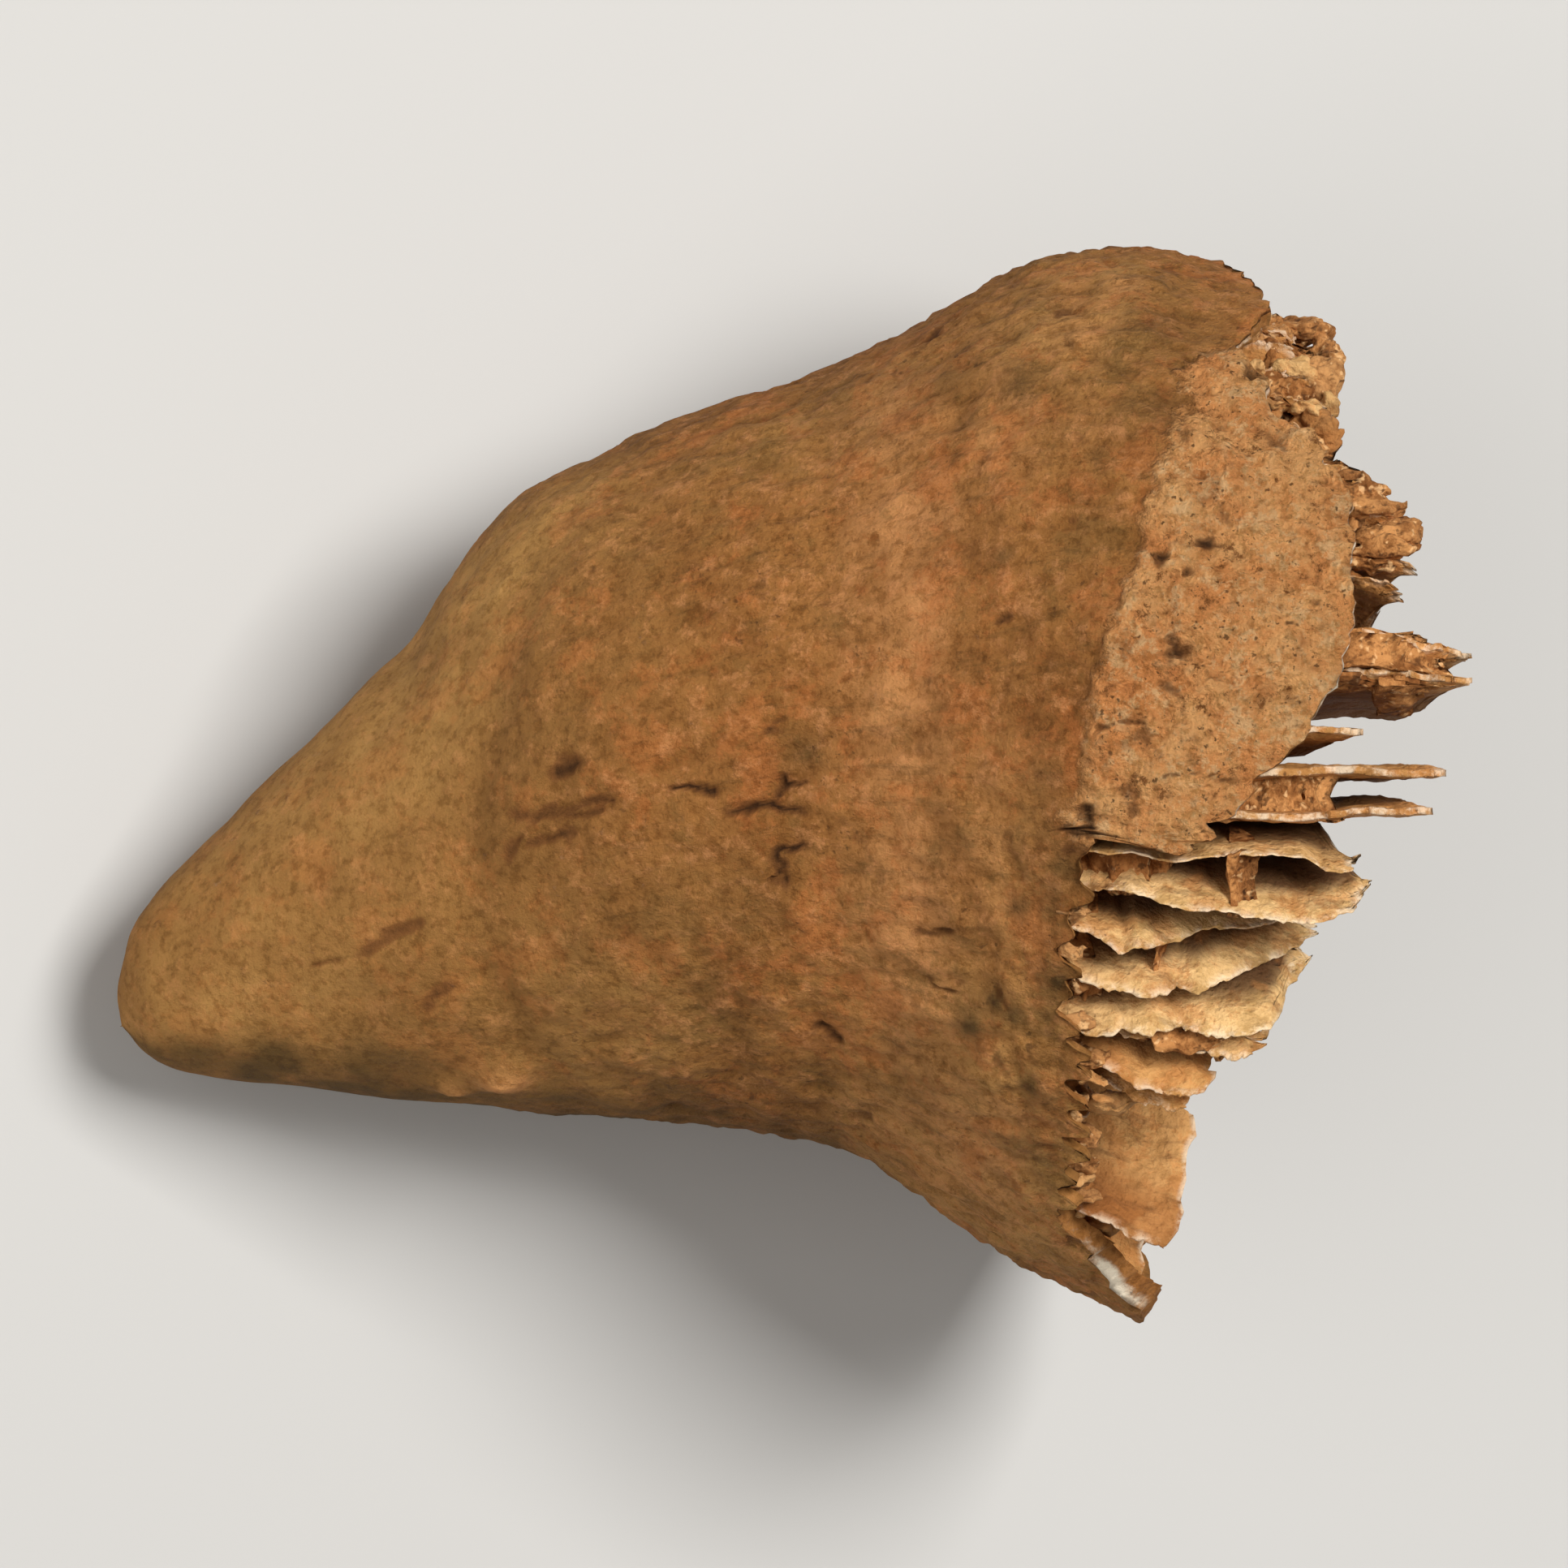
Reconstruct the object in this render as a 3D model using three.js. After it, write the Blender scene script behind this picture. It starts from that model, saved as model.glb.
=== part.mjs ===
// A fossil horn coral: the skeleton of one solitary coral animal, which grew as one piece.
// A solid horn widens from a blunt tip to a deep cup, the calice. Thin radial plates, the septa,
// stand in the cup from its wall towards its middle. On one side the wall is broken back, which
// leaves the outer edges of the septa bare, and hardened sediment still fills some of the gaps.
// The horn lies on its side, on two worn flats.
//
// Growth frame, in millimetres: p runs along the horn from tip to cup, q across it, and d out of
// the side that faces up when the horn lies down. An angle of 0 degrees faces d, and 90 faces q.

import * as THREE from "three";

const { degToRad, euclideanModulo, lerp, radToDeg, smoothstep } = THREE.MathUtils;

// ---- the horn's outer form ----

// The two ends, [p, q], of each growth ring across the horn, from the tip to past the rim.
const UPPER_ENDS = [
  [0.2, -9.3], [0.15, -8.2], [0.3, -7.0], [0.75, -5.5], [1.8, -4.1], [3.9, -1.8], [6.4, 0.6],
  [9.4, 3.5], [11.0, 5.0], [12.8, 7.8], [14.15, 9.6], [15.7, 10.95], [18.0, 12.15],
  [20.7, 13.25], [23.5, 14.4], [26.2, 15.1], [29.3, 16.6], [32.3, 18.3], [34.7, 19.5],
  [36.7, 19.9], [38.7, 19.9], [40.9, 19.5], [43.5, 19.2], [47.0, 18.6],
  [52.0, 17.6],
];
const LOWER_ENDS = [
  [0.2, -9.3], [0.9, -10.2], [1.95, -10.9], [3.0, -11.2], [5.3, -11.45], [8.8, -11.75],
  [11.9, -12.1], [14.9, -12.45], [16.7, -12.6], [18.6, -12.7], [20.1, -12.75],
  [21.6, -12.85], [23.2, -13.05], [24.8, -13.3], [26.2, -13.5], [27.6, -13.9],
  [29.5, -15.1], [32.0, -16.9], [33.8, -18.15], [35.1, -18.7], [36.6, -19.4],
  [38.4, -20.3], [41.2, -20.2], [45.5, -19.4], [51.5, -18.3],
];
const DEPTH_RATIO = 0.95; // a ring's size along d, over its size across the horn

// Low rings and furrows in the wall: [p where the ring crosses d, height, half width].
const RING_WAVES = [
  [7.0, -0.06, 1.3], [13.4, -0.2, 1.0], [15.4, 0.14, 1.5], [20.6, -0.08, 1.4],
  [26.6, -0.12, 1.6], [33.4, -0.22, 2.2],
];
const RING_SAG = 4.6; // how much further along p a ring crosses the sides than it crosses d
// Lumps and hollows of the wall: [angle, p, height, radius].
const LUMPS = [
  [66, 38.0, 0.35, 1.4], [48, 31.4, -0.4, 1.2], [-55, 14.6, 0.3, 1.4], [-22, 10.0, -0.2, 1.6],
  [-9, 16.3, -0.35, 1.7], [3, 21.5, -0.2, 1.3], [-2, 24.7, -0.45, 1.3], [-12, 25.2, -0.3, 1.6],
  [-27, 31.2, -0.2, 1.3], [14, 37.5, 0.25, 1.2], [14, 39.4, -0.35, 0.9], [27, 40.7, -0.35, 0.9],
  [110, 30.0, 0.4, 3.2], [150, 27.0, -0.3, 3.0], [-130, 24.0, 0.4, 3.0], [-110, 33.0, -0.3, 2.6],
];
const CRUST = { from: -7, to: 58, height: 0.4, start: 36.0, slant: 0.085 }; // slant: mm a degree

// ---- the calice ----

const SEPTA = 76;
const SEPTUM_PITCH = 360 / SEPTA;
const FIRST_SEPTUM_ANGLE = 2.4;
const SEPTUM_THICKNESS = 0.5;
const SEPTUM_FLANK = 0.12; // how far a septum's foot stands out past its crest, on each side
const WIDEST_SHARE = 0.3; // of the pitch, near the middle where the septa crowd together
const WALL_SHARE = 0.045; // the wall's thickness over the radius
const MINOR_SEPTUM_END = 0.6; // every second septum stops at this share of the radius
const CUP_EDGE = 42.5; // the septa's common height along p at the wall
const CUP_FLOOR = 33.0; // and in the middle of the cup
const CUP_FLOOR_SHARE = 0.3; // the cup's flat middle, over the radius
const CUP_EDGE_SHARE = 0.88; // where the septa reach their common height
const BOSS_HEIGHT = 1.4; // the low knob in the middle of the cup
const GAP_FLOOR = 33.4; // the bottom of the gaps between septa, at the wall
const GAP_DEPTH_AT_MIDDLE = 0.9;
const CUP_SHARES = [0.93, 0.8, 0.64, 0.48, 0.3, 0.13]; // radii of the rings inside the wall

// The rim of the wall: [angle, p]. It is broken back from -8 to -80 degrees.
const RIM = [
  [-180, 39.6], [-160, 38.6], [-140, 38.6], [-122, 38.2], [-113, 39.1], [-100, 38.9],
  [-90, 38.5], [-71, 36.6], [-57, 35.0], [-51, 36.3], [-40, 36.0], [-35, 35.6], [-24, 35.0],
  [-17, 35.3], [-14, 36.3], [-10, 36.0], [-7, 38.5], [-4, 40.8], [-1, 41.4], [4, 43.3],
  [12, 45.1], [18, 45.7], [28, 46.0], [34, 45.7], [41, 44.5], [50, 42.4], [55, 41.4],
  [64, 43.2], [75, 42.4], [90, 41.4], [100, 41.0], [120, 40.3], [140, 41.0], [160, 40.0],
  [180, 39.6],
];
// How far single septa reach along p, by number. Number 0 stands at FIRST_SEPTUM_ANGLE.
const SEPTUM_ENDS = {
  "-16": 37.4, "-15": 36.4, "-14": 35.8, "-13": 40.1, "-12": 35.8, "-11": 36.2, "-10": 36.6,
  "-9": 40.5, "-8": 41.1, "-7": 42.8, "-6": 43.1, "-5": 44.8, "-4": 44.7, "-3": 46.7,
  "-2": 46.0, "-1": 48.8, 0: 49.2, 1: 46.3, 2: 50.3, 3: 49.4, 4: 47.2, 5: 48.3, 6: 47.9,
  7: 46.2, 8: 45.6, 9: 45.2, 10: 45.6, 11: 45.5, 12: 45.6, 13: 45.7, 14: 45.2, 15: 43.8,
};
// Sediment in the gap that follows a septum, by its number, up to this p.
const SEDIMENT = {
  "-9": 37.5, "-8": 40.0, "-7": 42.0, "-6": 38.4, "-3": 40.8, "-1": 46.0, 2: 49.4, 4: 46.6,
  5: 47.5, 6: 46.7, 7: 45.4, 8: 45.0, 9: 44.6, 10: 45.0, 12: 45.1, 13: 43.8, 20: 39.4,
  21: 39.8, 31: 38.4, 32: 38.0,
};

// ---- how it lies and how it is divided ----

const LEAN = degToRad(22); // how steeply p rises from the table
const WORN_DEPTH = 0.55; // how much is worn off at the two flats
const LOWER_RINGS = 26;
const UPPER_RINGS = 10; // the rings next to the rim, which follow its outline
const UPPER_RINGS_START = 0.72; // of the growth

const asLine = (ends) => new THREE.SplineCurve(ends.map((end) => new THREE.Vector2(...end)));
const upperLine = asLine(UPPER_ENDS);
const lowerLine = asLine(LOWER_ENDS);

// The point of the smooth horn at growth 0 to 1, at an angle, and at a share of the radius.
function hornPoint(growth, angle, share) {
  const upper = upperLine.getPoint(growth);
  const lower = lowerLine.getPoint(growth);
  const middle = upper.clone().add(lower).multiplyScalar(0.5);
  const half = upper.clone().sub(lower).multiplyScalar(0.5);
  const across = share * Math.sin(degToRad(angle));
  const outward = share * Math.cos(degToRad(angle));
  return new THREE.Vector3(
    middle.x + half.x * across,
    middle.y + half.y * across,
    half.length() * DEPTH_RATIO * outward,
  );
}

// The growth at which the line of that angle and share reaches p.
function growthAt(reach, angle, share) {
  let low = 0;
  let high = 1;
  for (let step = 0; step < 24; step++) {
    const middle = (low + high) / 2;
    if (hornPoint(middle, angle, share).x < reach) low = middle;
    else high = middle;
  }
  return high;
}

const pointAtReach = (reach, angle, share) =>
  hornPoint(growthAt(reach, angle, share), angle, share);

const bump = (distance, width) => Math.exp(-((distance / width) ** 2));

// How far the weathered surface stands out from the smooth horn.
function relief(angle, point) {
  const side = Math.abs(angle) < 90 ? Math.sin(degToRad(angle)) ** 2 : 1;
  const radius = Math.hypot(point.y, point.z);
  let height = 0;
  for (const [p, wave, width] of RING_WAVES) {
    height += wave * bump(point.x - p - RING_SAG * side, width) * (1 - 0.7 * side);
  }
  for (const [lumpAngle, p, lump, size] of LUMPS) {
    const around = degToRad(turned(angle - lumpAngle)) * 0.9 * Math.max(radius, 4);
    height += lump * bump(Math.hypot(around, point.x - p), size);
  }
  const edge = CRUST.start + CRUST.slant * angle;
  const inCrust = smoothstep(angle, CRUST.from - 3, CRUST.from) *
    (1 - smoothstep(angle, CRUST.to - 6, CRUST.to));
  return height + CRUST.height * inCrust * smoothstep(point.x, edge - 0.5, edge + 0.5);
}

function wallPoint(growth, angle) {
  const point = hornPoint(growth, angle, 1);
  const along = hornPoint(growth + 1e-3, angle, 1).sub(hornPoint(growth - 1e-3, angle, 1));
  const around = hornPoint(growth, angle + 1, 1).sub(hornPoint(growth, angle - 1, 1));
  const outward = along.cross(around).normalize();
  return point.addScaledVector(outward, relief(turned(angle), point));
}

// An angle from -180 to 180.
const turned = (angle) => euclideanModulo(angle + 180, 360) - 180;

function rimReach(angle) {
  const at = turned(angle);
  const next = Math.max(RIM.findIndex(([rimAngle]) => rimAngle >= at), 1);
  const [angleBefore, before] = RIM[next - 1];
  const [angleAfter, after] = RIM[next];
  return lerp(before, after, (at - angleBefore) / (angleAfter - angleBefore));
}

// ---- heights inside the calice ----

function cupReach(share) {
  const slope = smoothstep(share, CUP_FLOOR_SHARE, CUP_EDGE_SHARE);
  const boss = BOSS_HEIGHT * (1 - smoothstep(share, 0, CUP_FLOOR_SHARE));
  return lerp(CUP_FLOOR, CUP_EDGE, slope) + boss;
}

const septumAngle = (number) => FIRST_SEPTUM_ANGLE + number * SEPTUM_PITCH;

// A septum with no end of its own ends a little above or below the rim, by turns.
function septumEnd(number) {
  const sway = 0.5 * Math.sin(2.1 * number) + 0.4 * Math.sin(0.9 * number);
  return SEPTUM_ENDS[number] ?? rimReach(septumAngle(number)) - 0.2 + sway;
}

function gapReach(number, share) {
  const rim = rimReach(septumAngle(number) + SEPTUM_PITCH / 2);
  const slope = smoothstep(share, 0.1, 0.9);
  const open = Math.min(lerp(cupReach(share) - GAP_DEPTH_AT_MIDDLE, GAP_FLOOR, slope), rim - 0.8);
  const sediment = SEDIMENT[number] ?? open;
  return lerp(open, Math.max(open, sediment), smoothstep(share, 0.62, 0.85));
}

function septumReach(number, share) {
  const free = septumEnd(number) - cupReach(1 - WALL_SHARE);
  const crest = cupReach(share) + free * smoothstep(share, 0.5, 0.85);
  const isMinor = number % 2 !== 0;
  if (!isMinor) return crest;
  const inner = smoothstep(share, MINOR_SEPTUM_END - 0.12, MINOR_SEPTUM_END + 0.1);
  return lerp(gapReach(number, share), crest, inner);
}

// The four columns of one septum at a share of the radius: foot, crest, crest, foot.
function columnsAt(number, share) {
  const meanRadius = 19 * share;
  const widest = SEPTUM_PITCH * WIDEST_SHARE;
  const crest = Math.min(radToDeg(SEPTUM_THICKNESS / 2 / meanRadius), widest);
  const flank = radToDeg(SEPTUM_FLANK / meanRadius);
  const foot = Math.min(crest + flank, widest * 1.3);
  const angle = septumAngle(number);
  const top = septumReach(number, share);
  return [
    { angle: angle - foot, reach: Math.min(gapReach(number - 1, share), top) },
    { angle: angle - crest, reach: top },
    { angle: angle + crest, reach: top },
    { angle: angle + foot, reach: Math.min(gapReach(number, share), top) },
  ];
}

const numbers = Array.from({ length: SEPTA }, (_, i) => i - SEPTA / 2);

// ---- the one closed surface ----

// The outside: rings with a point for each gap between septa, from next to the tip to the rim.
function wallRings() {
  const angles = numbers.map((number) => septumAngle(number) - SEPTUM_PITCH / 2);
  const rimGrowth = angles.map((angle) => growthAt(rimReach(angle), angle, 1));
  const lower = Array.from({ length: LOWER_RINGS }, (_, ring) => {
    const growth = (UPPER_RINGS_START * (ring + 1)) / LOWER_RINGS;
    return angles.map((angle) => wallPoint(growth, angle));
  });
  const upper = Array.from({ length: UPPER_RINGS }, (_, ring) =>
    angles.map((angle, i) =>
      wallPoint(lerp(UPPER_RINGS_START, rimGrowth[i], (ring + 1) / UPPER_RINGS), angle),
    ),
  );
  return [...lower, ...upper];
}

// The inner edge of the wall, where the septa's outer edges stand.
function innerEdge() {
  const share = 1 - WALL_SHARE;
  return numbers.flatMap((number) =>
    columnsAt(number, share).map(({ angle, reach }, column) => {
      const isCrest = column === 1 || column === 2;
      const edge = rimReach(angle) - 0.1;
      return pointAtReach(isCrest ? Math.max(reach, edge) : edge, angle, share);
    }),
  );
}

const cupRing = (share) =>
  numbers.flatMap((number) =>
    columnsAt(number, share).map(({ angle, reach }) => pointAtReach(reach, angle, share)),
  );

function hornCoral() {
  const points = [];
  const triangles = [];
  const add = (point) => points.push(point) - 1;
  const addRing = (ring) => ring.map(add);

  const tip = add(hornPoint(0, 0, 0));
  const wall = wallRings().map(addRing);
  const cup = [innerEdge(), ...CUP_SHARES.map(cupRing)].map(addRing);
  const middle = add(pointAtReach(cupReach(0), 0, 0));

  const band = (from, to) =>
    from.forEach((a, i) => {
      const next = (i + 1) % from.length;
      triangles.push([a, to[next], from[next]], [a, to[i], to[next]]);
    });
  wall[0].forEach((a, i) => triangles.push([tip, a, wall[0][(i + 1) % SEPTA]]));
  wall.slice(1).forEach((ring, i) => band(wall[i], ring));
  const rim = wall[wall.length - 1];
  rim.forEach((a, i) => {
    const next = rim[(i + 1) % SEPTA];
    const [foot, crest, farCrest, farFoot] = cup[0].slice(4 * i, 4 * i + 4);
    const nextFoot = cup[0][(4 * i + 4) % cup[0].length];
    triangles.push([a, foot, crest], [a, crest, next], [next, crest, farCrest]);
    triangles.push([next, farCrest, farFoot], [next, farFoot, nextFoot]);
  });
  cup.slice(1).forEach((ring, i) => band(cup[i], ring));
  const last = cup[cup.length - 1];
  last.forEach((a, i) => triangles.push([a, middle, last[(i + 1) % last.length]]));

  wearFlat(points);
  const coordinates = points.flatMap((point) => point.toArray());
  return new THREE.BufferGeometry()
    .setAttribute("position", new THREE.Float32BufferAttribute(coordinates, 3))
    .setIndex(triangles.flat());
}

// The direction that is up once the horn lies down, in the growth frame.
const UP = new THREE.Vector3(Math.sin(LEAN), 0, Math.cos(LEAN));

// Moves what lies under the table's level up to it.
function wearFlat(points) {
  const table = Math.min(...points.map((point) => point.dot(UP))) + WORN_DEPTH;
  points.forEach((point) => point.addScaledVector(UP, Math.max(table - point.dot(UP), 0)));
}

const stone = new THREE.MeshStandardMaterial({ color: 0xb58452, roughness: 0.85, metalness: 0 });
const horn = new THREE.Mesh(hornCoral(), stone);
horn.name = "horn_coral";
horn.rotation.y = -LEAN;
// The origin is on the table, under the middle of the horn.
const bounds = new THREE.Box3().setFromObject(horn, true);
const middle = bounds.getCenter(new THREE.Vector3());
horn.position.set(-middle.x, -middle.y, -bounds.min.z);

const coral = new THREE.Group();
coral.add(horn);

export default coral;
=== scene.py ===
import itertools

import bpy
import numpy as np
from mathutils import Matrix, Vector


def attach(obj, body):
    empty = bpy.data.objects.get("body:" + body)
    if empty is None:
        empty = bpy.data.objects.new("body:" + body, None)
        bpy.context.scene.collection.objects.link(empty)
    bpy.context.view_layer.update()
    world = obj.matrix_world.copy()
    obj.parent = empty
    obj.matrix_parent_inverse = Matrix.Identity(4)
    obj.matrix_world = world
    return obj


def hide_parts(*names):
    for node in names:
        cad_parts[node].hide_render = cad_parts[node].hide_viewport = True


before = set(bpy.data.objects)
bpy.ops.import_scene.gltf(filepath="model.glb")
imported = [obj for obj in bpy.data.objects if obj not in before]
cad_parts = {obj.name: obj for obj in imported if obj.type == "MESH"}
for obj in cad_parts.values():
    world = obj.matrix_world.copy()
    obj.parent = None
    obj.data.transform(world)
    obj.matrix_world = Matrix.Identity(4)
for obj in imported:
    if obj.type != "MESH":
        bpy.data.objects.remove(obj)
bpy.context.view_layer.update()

# ----------------------------------------
# Wall: the outside of the horn, the broken rim, and the inside of the calice down to its floor.
# Calcite skeleton, laid down ring on ring as the animal grew, now stained by the clay it lay in.
# It is the carrier: septa, cross walls and sediment all grow or sit inside it.
# ----------------------------------------

# The growth frame is in millimetres: p runs from tip to calice, q across the horn, and d out of
# the side that faces up. An angle of 0 faces d, and 90 faces q. A share is of a ring's radius.
LEAN = np.radians(22.0)
GROWTH_ORIGIN = np.array([-21.9956, 0.1866, 3.2785])
GROWTH_AXES = np.array([
    [np.cos(LEAN), 0.0, np.sin(LEAN)], [0.0, 1.0, 0.0], [-np.sin(LEAN), 0.0, np.cos(LEAN)],
])
# Both ends of the growth rings, from the tip on: [p, q].
UPPER_ENDS = np.array([
    [0.2, -9.3], [0.15, -8.2], [0.3, -7.0], [0.75, -5.5], [1.8, -4.1], [3.9, -1.8], [6.4, 0.6],
    [9.4, 3.5], [11.0, 5.0], [12.8, 7.8], [14.15, 9.6], [15.7, 10.95], [18.0, 12.15], [20.7, 13.25],
    [23.5, 14.4], [26.2, 15.1], [29.3, 16.6], [32.3, 18.3], [34.7, 19.5], [36.7, 19.9],
    [38.7, 19.9], [40.9, 19.5], [43.5, 19.2], [47.0, 18.6], [52.0, 17.6],
])
LOWER_ENDS = np.array([
    [0.2, -9.3], [0.9, -10.2], [1.95, -10.9], [3.0, -11.2], [5.3, -11.45], [8.8, -11.75],
    [11.9, -12.1], [14.9, -12.45], [16.7, -12.6], [18.6, -12.7], [20.1, -12.75], [21.6, -12.85],
    [23.2, -13.05], [24.8, -13.3], [26.2, -13.5], [27.6, -13.9], [29.5, -15.1], [32.0, -16.9],
    [33.8, -18.15], [35.1, -18.7], [36.6, -19.4], [38.4, -20.3], [41.2, -20.2], [45.5, -19.4],
    [51.5, -18.3],
])
DEPTH_RATIO = 0.95
SEPTA = 76
SEPTUM_PITCH = 360.0 / SEPTA
FIRST_SEPTUM_ANGLE = 2.4


def on_line(ends, growth):
    """The point of a smooth line through ends, where growth runs from 0 to 1."""
    last = len(ends) - 1
    place = np.clip(growth, 0, 1) * last
    i = np.minimum(place.astype(int), last - 1)
    t = (place - i)[..., None]
    before, here = ends[np.maximum(i - 1, 0)], ends[i]
    there, after = ends[i + 1], ends[np.minimum(i + 2, last)]
    v0, v1 = (there - before) / 2, (after - here) / 2
    cubed, squared = 2 * here - 2 * there + v0 + v1, -3 * here + 3 * there - 2 * v0 - v1
    return cubed * t**3 + squared * t**2 + v0 * t + here


def horn_point(growth, angle, share):
    """Points [p, q, d] of the smooth horn."""
    upper, lower = on_line(UPPER_ENDS, growth), on_line(LOWER_ENDS, growth)
    middle, half = (upper + lower) / 2, (upper - lower) / 2
    turn = np.radians(angle)
    across = (share * np.sin(turn))[..., None]
    depth = np.linalg.norm(half, axis=-1) * DEPTH_RATIO * share * np.cos(turn)
    return np.concatenate([middle + half * across, depth[..., None]], axis=-1)


GROWTH_STEPS = np.linspace(0, 1, 600)
STEP_UPPERS, STEP_LOWERS = (on_line(ends, GROWTH_STEPS)[:, 0] for ends in (UPPER_ENDS, LOWER_ENDS))
STEP_MIDDLES, STEP_HALVES = (STEP_UPPERS + STEP_LOWERS) / 2, (STEP_UPPERS - STEP_LOWERS) / 2


def growth_at(reach, angle, share):
    """The growth at which the line of that angle and share reaches p, found in a few rounds."""
    growth = np.interp(reach, STEP_MIDDLES, GROWTH_STEPS)
    for _ in range(5):
        tilt = np.interp(growth, GROWTH_STEPS, STEP_HALVES) * share * np.sin(np.radians(angle))
        growth = np.interp(reach - tilt, STEP_MIDDLES, GROWTH_STEPS)
    return growth


def point_at_reach(reach, angle, share):
    """The point where the line of that angle and share reaches p."""
    reach, angle, share = np.broadcast_arrays(reach, angle, share)
    return horn_point(growth_at(reach, angle, share), angle, share)


def smooth(x, low, high):
    """0 up to low, 1 from high on, and a soft rise between."""
    t = np.clip((x - low) / (high - low), 0, 1)
    return t * t * (3 - 2 * t)


def bump_at(distance, width):
    return np.exp(-((distance / width) ** 2))


def turned(angle):
    """The same angle between -180 and 180."""
    return (angle + 180) % 360 - 180


def noise(points, size, seed):
    """Smooth noise from about -1 to 1, with features of that size, in millimetres."""
    rng = np.random.default_rng(seed)
    table = np.tile(rng.permutation(256), 2)
    slopes = rng.normal(size=(256, 3))
    slopes /= np.linalg.norm(slopes, axis=1, keepdims=True)
    cell = points / size + rng.uniform(0, 99, 3)
    base = np.floor(cell).astype(int)
    part = cell - base
    fade = part**3 * (part * (part * 6 - 15) + 10)
    total = np.zeros(points.shape[:-1])
    for corner in itertools.product((0, 1), repeat=3):
        i, j, k = np.moveaxis((base + corner) & 255, -1, 0)
        slope = slopes[table[table[table[i] + j] + k]]
        weight = np.prod(np.where(corner, fade, 1 - fade), axis=-1)
        total += weight * np.sum(slope * (part - corner), axis=-1)
    return total * 1.6


def rough(points, size, octaves, seed):
    """Noise with finer and fainter noise laid over it."""
    return sum(noise(points, size / 2**o, seed + o) * 0.55**o for o in range(octaves))


def shaken(points, size, far, seed):
    """Points moved about by noise of that size, by up to about far."""
    return points + far * np.stack([noise(points, size, seed + k) for k in range(3)], -1)


# The rim by angle: [angle, p].
RIM = np.array([
    [-180, 39.6], [-160, 38.6], [-140, 38.6], [-122, 38.2], [-113, 39.1], [-100, 38.9], [-90, 38.6],
    [-78, 38.3], [-74, 37.4], [-70, 36.7], [-66, 36.4], [-62, 35.5], [-57, 35.0], [-53, 35.2],
    [-51, 35.5], [-45, 35.3], [-40, 35.3], [-37, 35.1], [-34, 35.2], [-29, 34.9], [-24, 34.8],
    [-20, 35.1], [-17, 35.3], [-14, 36.0], [-10, 36.0], [-7.6, 36.4], [-7.0, 39.5], [-6.2, 40.1],
    [-5.4, 39.9], [-4.9, 40.9], [-3.9, 40.6], [-3.3, 40.1], [-2.6, 41.3], [-1, 41.7], [1, 41.9],
    [4, 43.3], [8, 44.3], [12, 45.1], [18, 45.7], [23, 45.5], [28, 46.0], [34, 45.7], [38, 44.8],
    [41, 44.5], [44, 43.2], [50, 42.7], [55, 41.8], [58, 42.3], [64, 43.1], [75, 42.4], [90, 41.4],
    [100, 41.0], [120, 40.3], [140, 41.0], [160, 40.0], [180, 39.6],
])
# Stubs of the wall left on the feet of the septa: [angle, how far they reach past the rim].
RIM_STUBS = [
    (-14.3, 0.5), (-18.8, 0.5), (-23.5, 1.1), (-26, 0.8), (-30.2, 1.2), (-33.2, 1.3), (-35.5, 1.1),
    (-40, 0.8), (-43.6, 1.1), (-47.6, 1.1), (-52.5, 0.6), (-56.6, 0.8),
]
# Swellings and waists of the growth rings: [p, how far out, half width]. The rings sag down the
# sides of the horn by RING_SAG.
RING_WAVES = [
    (7.0, -0.06, 1.3), (13.4, -0.28, 1.0), (15.4, 0.18, 1.5), (20.6, -0.1, 1.4), (26.6, -0.12, 1.6),
    (33.4, -0.22, 2.2),
]
RING_SAG = 4.6
# Lumps and dents: [angle, p, how far out, size].
LUMPS = [
    (66, 38.0, 0.35, 1.4), (48, 31.4, -0.4, 1.2), (-55, 14.6, 0.7, 1.1), (-62, 12.9, 0.5, 0.8),
    (-22, 10.0, -0.2, 1.6), (-9, 16.3, -0.35, 1.7), (3, 21.5, -0.2, 1.3), (-2, 24.7, -0.45, 1.3),
    (-12, 25.2, -0.3, 1.6), (-27, 31.2, -0.2, 1.3), (14, 37.5, 0.25, 1.2), (14, 39.4, -0.35, 0.9),
    (27, 40.7, -0.35, 0.9), (110, 30.0, 0.4, 3.2), (150, 27.0, -0.3, 3.0), (-130, 24.0, 0.4, 3.0),
    (-110, 33.0, -0.3, 2.6),
]
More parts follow.
